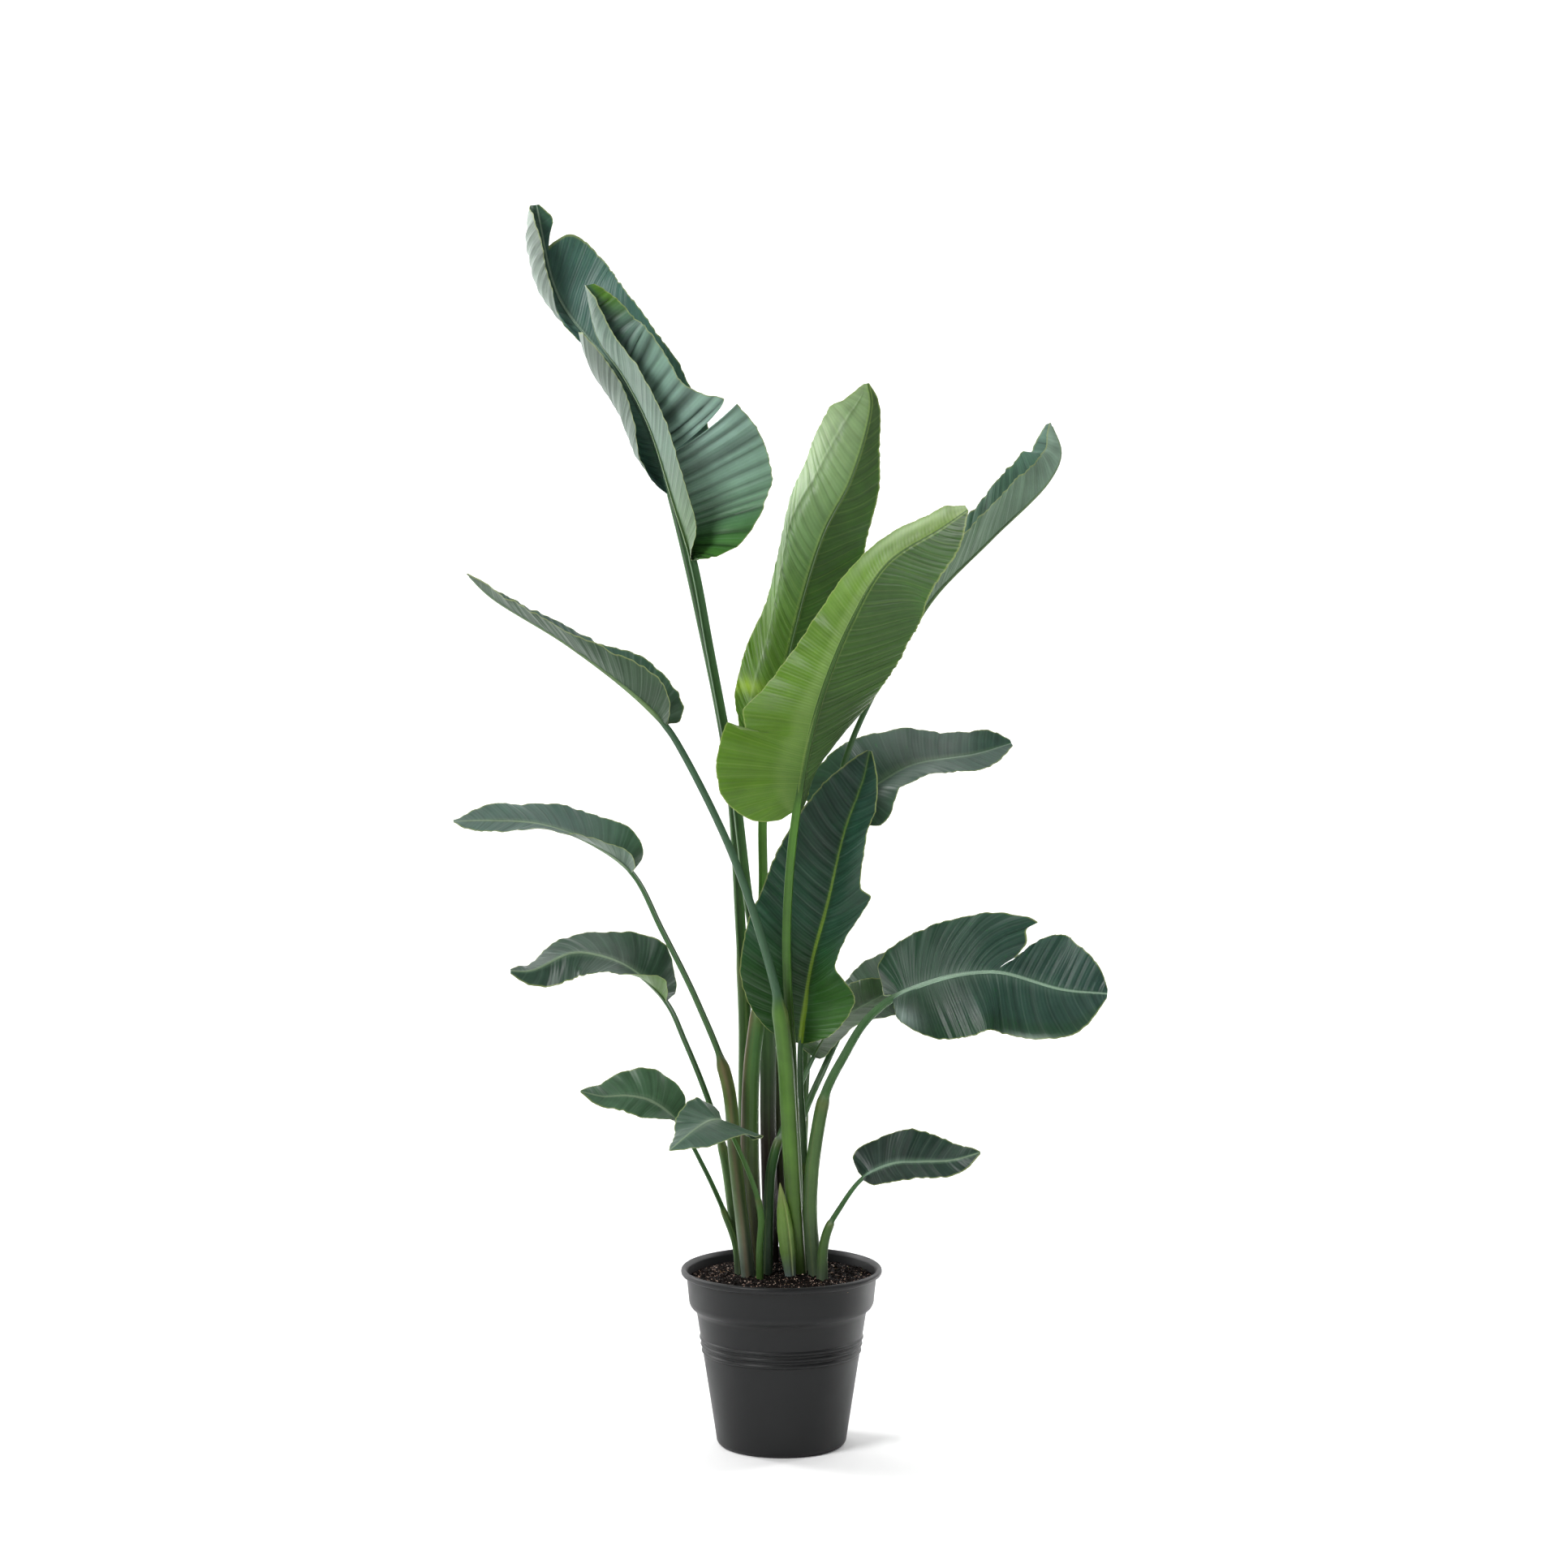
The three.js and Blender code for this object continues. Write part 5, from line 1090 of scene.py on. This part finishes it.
grow_leaf(
    "right_shoot_rear", foot=[4, 19],
    stalk=[[8, 20, 163], [9, 24, 197], [16, 28, 223], [27, 34, 248]],
    rib=[[48, 46, 288], [72, 62, 310], [89, 72, 321], [109, 82, 327]],
    faces=[[-0.3, -0.6, 0.7], [-0.2, -0.6, 0.75], [-0.1, -0.6, 0.8]],
    left=[[
      [0, 2, 0, 0], [0, 14, -10, 0], [0.12, 23, -20, 0], [0.3, 27, -8, 0], [0.5, 26, 0, 0],
      [0.72, 20, -5, 0], [0.9, 11, 5, 0], [1, 2, 0, 0],
    ]],
    right=[[
      [0, 2, 20, 0], [0, 14, 20, 0], [0.12, 24, 0, 0], [0.3, 27, -12, 0], [0.5, 26, -8, 0],
      [0.72, 20, -5, 0], [0.9, 11, -5, 0], [1, 2, 0, 0],
    ]],
    girth=[2.2, 2.6, 4], sheath=[200, 3.6], seed=1100,
    look={"upper": [(0, "#2f4c32"), (1, "#36523c")], "pleat": 0.4},
)
grow_leaf(
    "right_shoot_low", foot=[27.5, -18.5],
    stalk=[[28, -18.5, 137], [31.5, -19, 152], [38.5, -20.5, 165]],
    rib=[[55, -25, 188], [75, -32, 199], [92, -36, 201], [114, -41, 203], [133, -45, 209]],
    faces=[[-0.2, -0.7, 0.7], [0, -0.75, 0.65], [0, -0.8, 0.6]],
    left=[[
      [0, 2, 0, 0], [-0.04, 12, -15, 0], [0.02, 18, 15, 0], [0.12, 23, 0, 0], [0.28, 26, -4, 0],
      [0.42, 25, 4, 0], [0.56, 23, -2, 0], [0.76, 17, -18, 0], [0.92, 8, -22, 0], [1, 1, -10, 0],
    ]],
    right=[[
      [0, 2, 40, 0], [0.05, 12, 40, 0], [0.12, 16, 22, 0], [0.3, 18, 15, 0], [0.47, 17, 18, 0],
      [0.62, 15, 14, 0], [0.76, 12, 2, 0], [0.9, 7, -2, 0], [1, 1, 5, 0],
    ]],
    girth=[1.5, 2, 4], sheath=[156, 3], seed=1200,
    look={"upper": [(0, "#12281f"), (1, "#1c3429")], "under": [(0, "#64803c"), (1, "#55703c")], "rib": "#74907a"},
)


# ---------- left shoot ----------
# The left-hand shoot's leaves arch out to the left and the front in steps, the longest highest; one small leaf
# crosses over behind to the right.
grow_leaf(
    "left_shoot_long", foot=[-22, -12],
    stalk=[[-26.5, -12, 159], [-31, -12, 200], [-36.5, -12, 252], [-57, -10, 306], [-81, -8, 355]],
    rib=[[-101, -6, 393], [-128, -7, 413], [-162, -10, 426], [-194, -15, 429], [-220, -20, 429]],
    faces=[[0.5, -0.2, 0.85], [0.25, -0.2, 0.95], [0, -0.2, 1]],
    left=[[
      [0, 2, 20, 0], [0.01, 12, 35, 0], [0.09, 17, 45, 0], [0.2, 19, 36, 0], [0.38, 19, 18, 0],
      [0.55, 17, 8, 0], [0.72, 14, -10, 0], [0.87, 11, -22, 0], [0.96, 7, -20, 0], [1, 2, 0, 0],
    ]],
    right=[[
      [0, 2, 10, 0], [0.01, 16, 20, 0], [0.06, 22, 44, 0], [0.15, 26, 40, 0], [0.26, 28, 25, 0],
      [0.42, 27, 22, 0], [0.6, 23, 16, 0], [0.78, 17, 24, 0], [0.9, 10, 25, 0], [1, 2, 10, 0],
    ]],
    girth=[2.3, 2.8, 5.4], sheath=[262, 4.8], seed=1300,
    look={"sheath": [(0, "#4f5a50"), (0.4, "#3c5624"), (0.8, "#3f5a1e"), (1, "#4c5424")], "rib": "#7f9478",
          "blush": [("#6b5a42", 15, 24, 0.5)]},
)
grow_leaf(
    "left_shoot_arched", foot=[-26.5, 5],
    stalk=[[-32.5, 6, 155], [-39, 8, 198], [-50, 11, 235], [-66, 14, 275]],
    rib=[[-79, 17, 302], [-104, 18, 325], [-125, 16, 334], [-143, 12, 336], [-170, 5, 325], [-184, 3, 325]],
    faces=[[0.4, -0.35, 0.85], [0, -0.5, 0.85], [-0.3, -0.5, 0.8]],
    left=[[
      [0, 2, 30, 0], [0.03, 12, 55, 0], [0.1, 20, 60, 0], [0.2, 24, 40, 0], [0.32, 26, 24, 0],
      [0.45, 24, 12, 0], [0.6, 22, -10, 0], [0.76, 18, -28, 0], [0.9, 10, -50, 0], [1, 2, -40, 0],
    ]],
    right=[[
      [0, 2, 0, 0], [0, 14, 0, 0], [0.08, 24, 15, 0], [0.2, 29, 32, 0], [0.34, 30, 14, 0],
      [0.48, 28, -5, 0], [0.64, 23, -8, 0], [0.82, 16, -14, 0], [0.93, 9, -14, 0], [1, 2, 0, 0],
    ]],
    girth=[2, 2.4, 4], sheath=[204, 3.6], seed=1400,
    look={"upper": [(0, "#243f2c"), (1, "#2b4236")], "under": [(0, "#55753a"), (1, "#52703a")], "rib": "#7f9478"},
)
grow_leaf(
    "left_shoot_low", foot=[-29, -2],
    stalk=[[-31, -3, 138], [-38, -4, 158], [-53, -2, 191]],
    rib=[[-71, 0, 222], [-89, -4, 237], [-105, -7, 241], [-121, -10, 241], [-136, -13, 245]],
    faces=[[0.3, -0.6, 0.7], [0.1, -0.7, 0.7], [-0.1, -0.7, 0.7]],
    left=[[
      [0, 2, 40, 0], [0.1, 12, 38, 0], [0.22, 15, 18, 0], [0.42, 16, 0, 0], [0.64, 13, 5, 0],
      [0.84, 8, 5, 0], [1, 1, 10, 0],
    ]],
    right=[[
      [0, 2, 0, 0], [0.02, 14, 0, 0], [0.12, 22, 5, 0], [0.28, 24, 6, 0], [0.42, 23, 12, 0],
      [0.56, 21, -2, 0], [0.72, 17, -14, 0], [0.89, 9, -18, 0], [1, 1, -10, 0],
    ]],
    girth=[1.4, 1.8, 3], sheath=[160, 2.4], seed=1500,
    look={"upper": [(0, "#3a5a3c"), (1, "#425f48")], "rib": "#7f9478"},
)
grow_leaf(
    "left_shoot_front", foot=[-15, -20],
    stalk=[[-15, -20, 140], [-14, -20, 160], [-18, -21, 180]],
    rib=[[-39, -30, 227], [-44, -38, 230], [-50, -47, 230], [-59, -58, 226], [-74, -70, 215]],
    faces=[[-0.3, -0.3, 0.9], [-0.3, -0.5, 0.8], [-0.4, -0.6, 0.7]],
    left=[[
      [0, 2, 0, 0], [-0.03, 14, -14, 0], [0.04, 36, -20, 0], [0.14, 35, -20, 0], [0.3, 30, -14, 0],
      [0.55, 24, -8, 0], [0.78, 15, -8, 0], [1, 1, 0, 0],
    ]],
    right=[[
      [0, 2, 20, 0], [0, 12, 45, 0], [0.1, 20, 45, 0], [0.24, 24, 25, 0], [0.45, 22, 0, 0],
      [0.75, 15, -25, 0], [1, 1, -20, 0],
    ]],
    girth=[1.3, 1.7, 2.8], sheath=[170, 2.4], seed=1600,
    look={"upper": [(0, "#35503c"), (1, "#3c5748")], "rib": "#8aa084", "stalk": [(0, "#3a6320"), (1, "#41692c")],
          "sheath": [(0, "#34501f"), (0.5, "#355a1c"), (1, "#3a6220")]},
)
grow_leaf(
    "left_shoot_rear", foot=[-10, -8],
    stalk=[[-9, -6, 157], [-7, -2, 190], [-1, 2, 212], [9, 6, 236]],
    rib=[[22, 10, 265], [38, 16, 288], [53, 22, 297], [68, 28, 304], [83, 34, 314]],
    faces=[[-0.2, -0.8, 0.5], [-0.1, -0.75, 0.6], [0, -0.7, 0.7]],
    left=[[
      [0, 2, 0, 0], [0.02, 12, -10, 0], [0.08, 20, -20, 0], [0.24, 26, -40, 0], [0.45, 27, -30, 0],
      [0.68, 23, -10, 0], [0.88, 12, 0, 0], [1, 2, 0, 0],
    ]],
    right=[[
      [0, 2, 20, 0], [0.02, 12, 40, 0], [0.12, 20, 45, 0], [0.3, 23, 40, 0], [0.5, 22, 36, 0],
      [0.7, 18, 35, 0], [0.88, 10, 35, 0], [1, 2, 20, 0],
    ]],
    girth=[1.6, 2, 4], sheath=[206, 3.4], seed=1700,
    look={"upper": [(0, "#2c4c1c"), (1, "#34522c")], "sheath": [(0, "#28382a"), (0.5, "#2a4a24"), (1, "#2c5224")]},
)


# ---------- bract ----------
# A short pointed sheath between the shoots that never grew a blade: soft tissue folded round itself and closed, with
# a crease down its front beside a paler dry margin.
BRACT_FOOT, BRACT_TIP = (6.0, -14.5), (-1.0, -16.5, 183.0)
BRACT_SIDES = 40
BRACT_TOP = BRACT_TIP[2]
bract_heights = np.concatenate([np.linspace(FOOT_BOTTOM, STANDING_TOP, 6, endpoint=False),
                                np.linspace(STANDING_TOP, BRACT_TOP, 60)])
bract_lean = np.clip((bract_heights - STANDING_TOP) / (BRACT_TOP - STANDING_TOP), 0, 1)
bract_width = np.interp(bract_heights, [FOOT_BOTTOM, STANDING_TOP, 135, 150, 165, 177, BRACT_TOP],
                        [3.7, 3.8, 5.4, 5.6, 4.2, 1.7, 0.3])
bract_place = np.stack([mix(BRACT_FOOT[0], BRACT_TIP[0], bract_lean), mix(BRACT_FOOT[1], BRACT_TIP[1], bract_lean),
                        bract_heights], 1)
bract_turns = 2 * math.pi * (np.arange(BRACT_SIDES) + 0.5) / BRACT_SIDES
fold = 0.35 * np.exp(-((np.cos(bract_turns) - 0.35) / 0.12) ** 2) * (np.sin(bract_turns) < 0)
bract_shape = np.stack([np.cos(bract_turns), np.sin(bract_turns) * 0.7 * (1 - fold)], 1)
bract_points = np.stack([
    bract_place[:, :1] + bract_shape[None, :, 0] * bract_width[:, None],
    bract_place[:, 1:2] + bract_shape[None, :, 1] * bract_width[:, None],
    np.repeat(bract_place[:, 2:], BRACT_SIDES, 1)], -1)
bract_tint = tone_along([(0, "#5f6c66"), (0.25, "#5d7a3c"), (0.7, "#6f9040"), (1, "#93a060")], bract_lean[:, None])
bract_tint = bract_tint * np.ones((1, BRACT_SIDES, 1))
bract_edge = np.exp(-((np.cos(bract_turns) - 0.42) / 0.1) ** 2) * (np.sin(bract_turns) < 0)
bract_dry = 0.45 * bract_edge * np.ones((len(bract_lean), 1))
bract_tint = mix(bract_tint, linear("#b4bc84"), bract_dry[..., None])
bract_skin = Skin()
bract_faces = tube_faces(len(bract_points), BRACT_SIDES)
bract_skin.add(bract_points, bract_tint, np.cos(bract_turns) * bract_width[:, None], 50.0, bract_faces,
               np.full(len(bract_faces), Skin.STALK))
bract = add_object("sheath_bract", bract_skin.mesh("sheath_bract", MATURE_SKIN))
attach(bract, "root")
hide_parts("bract")
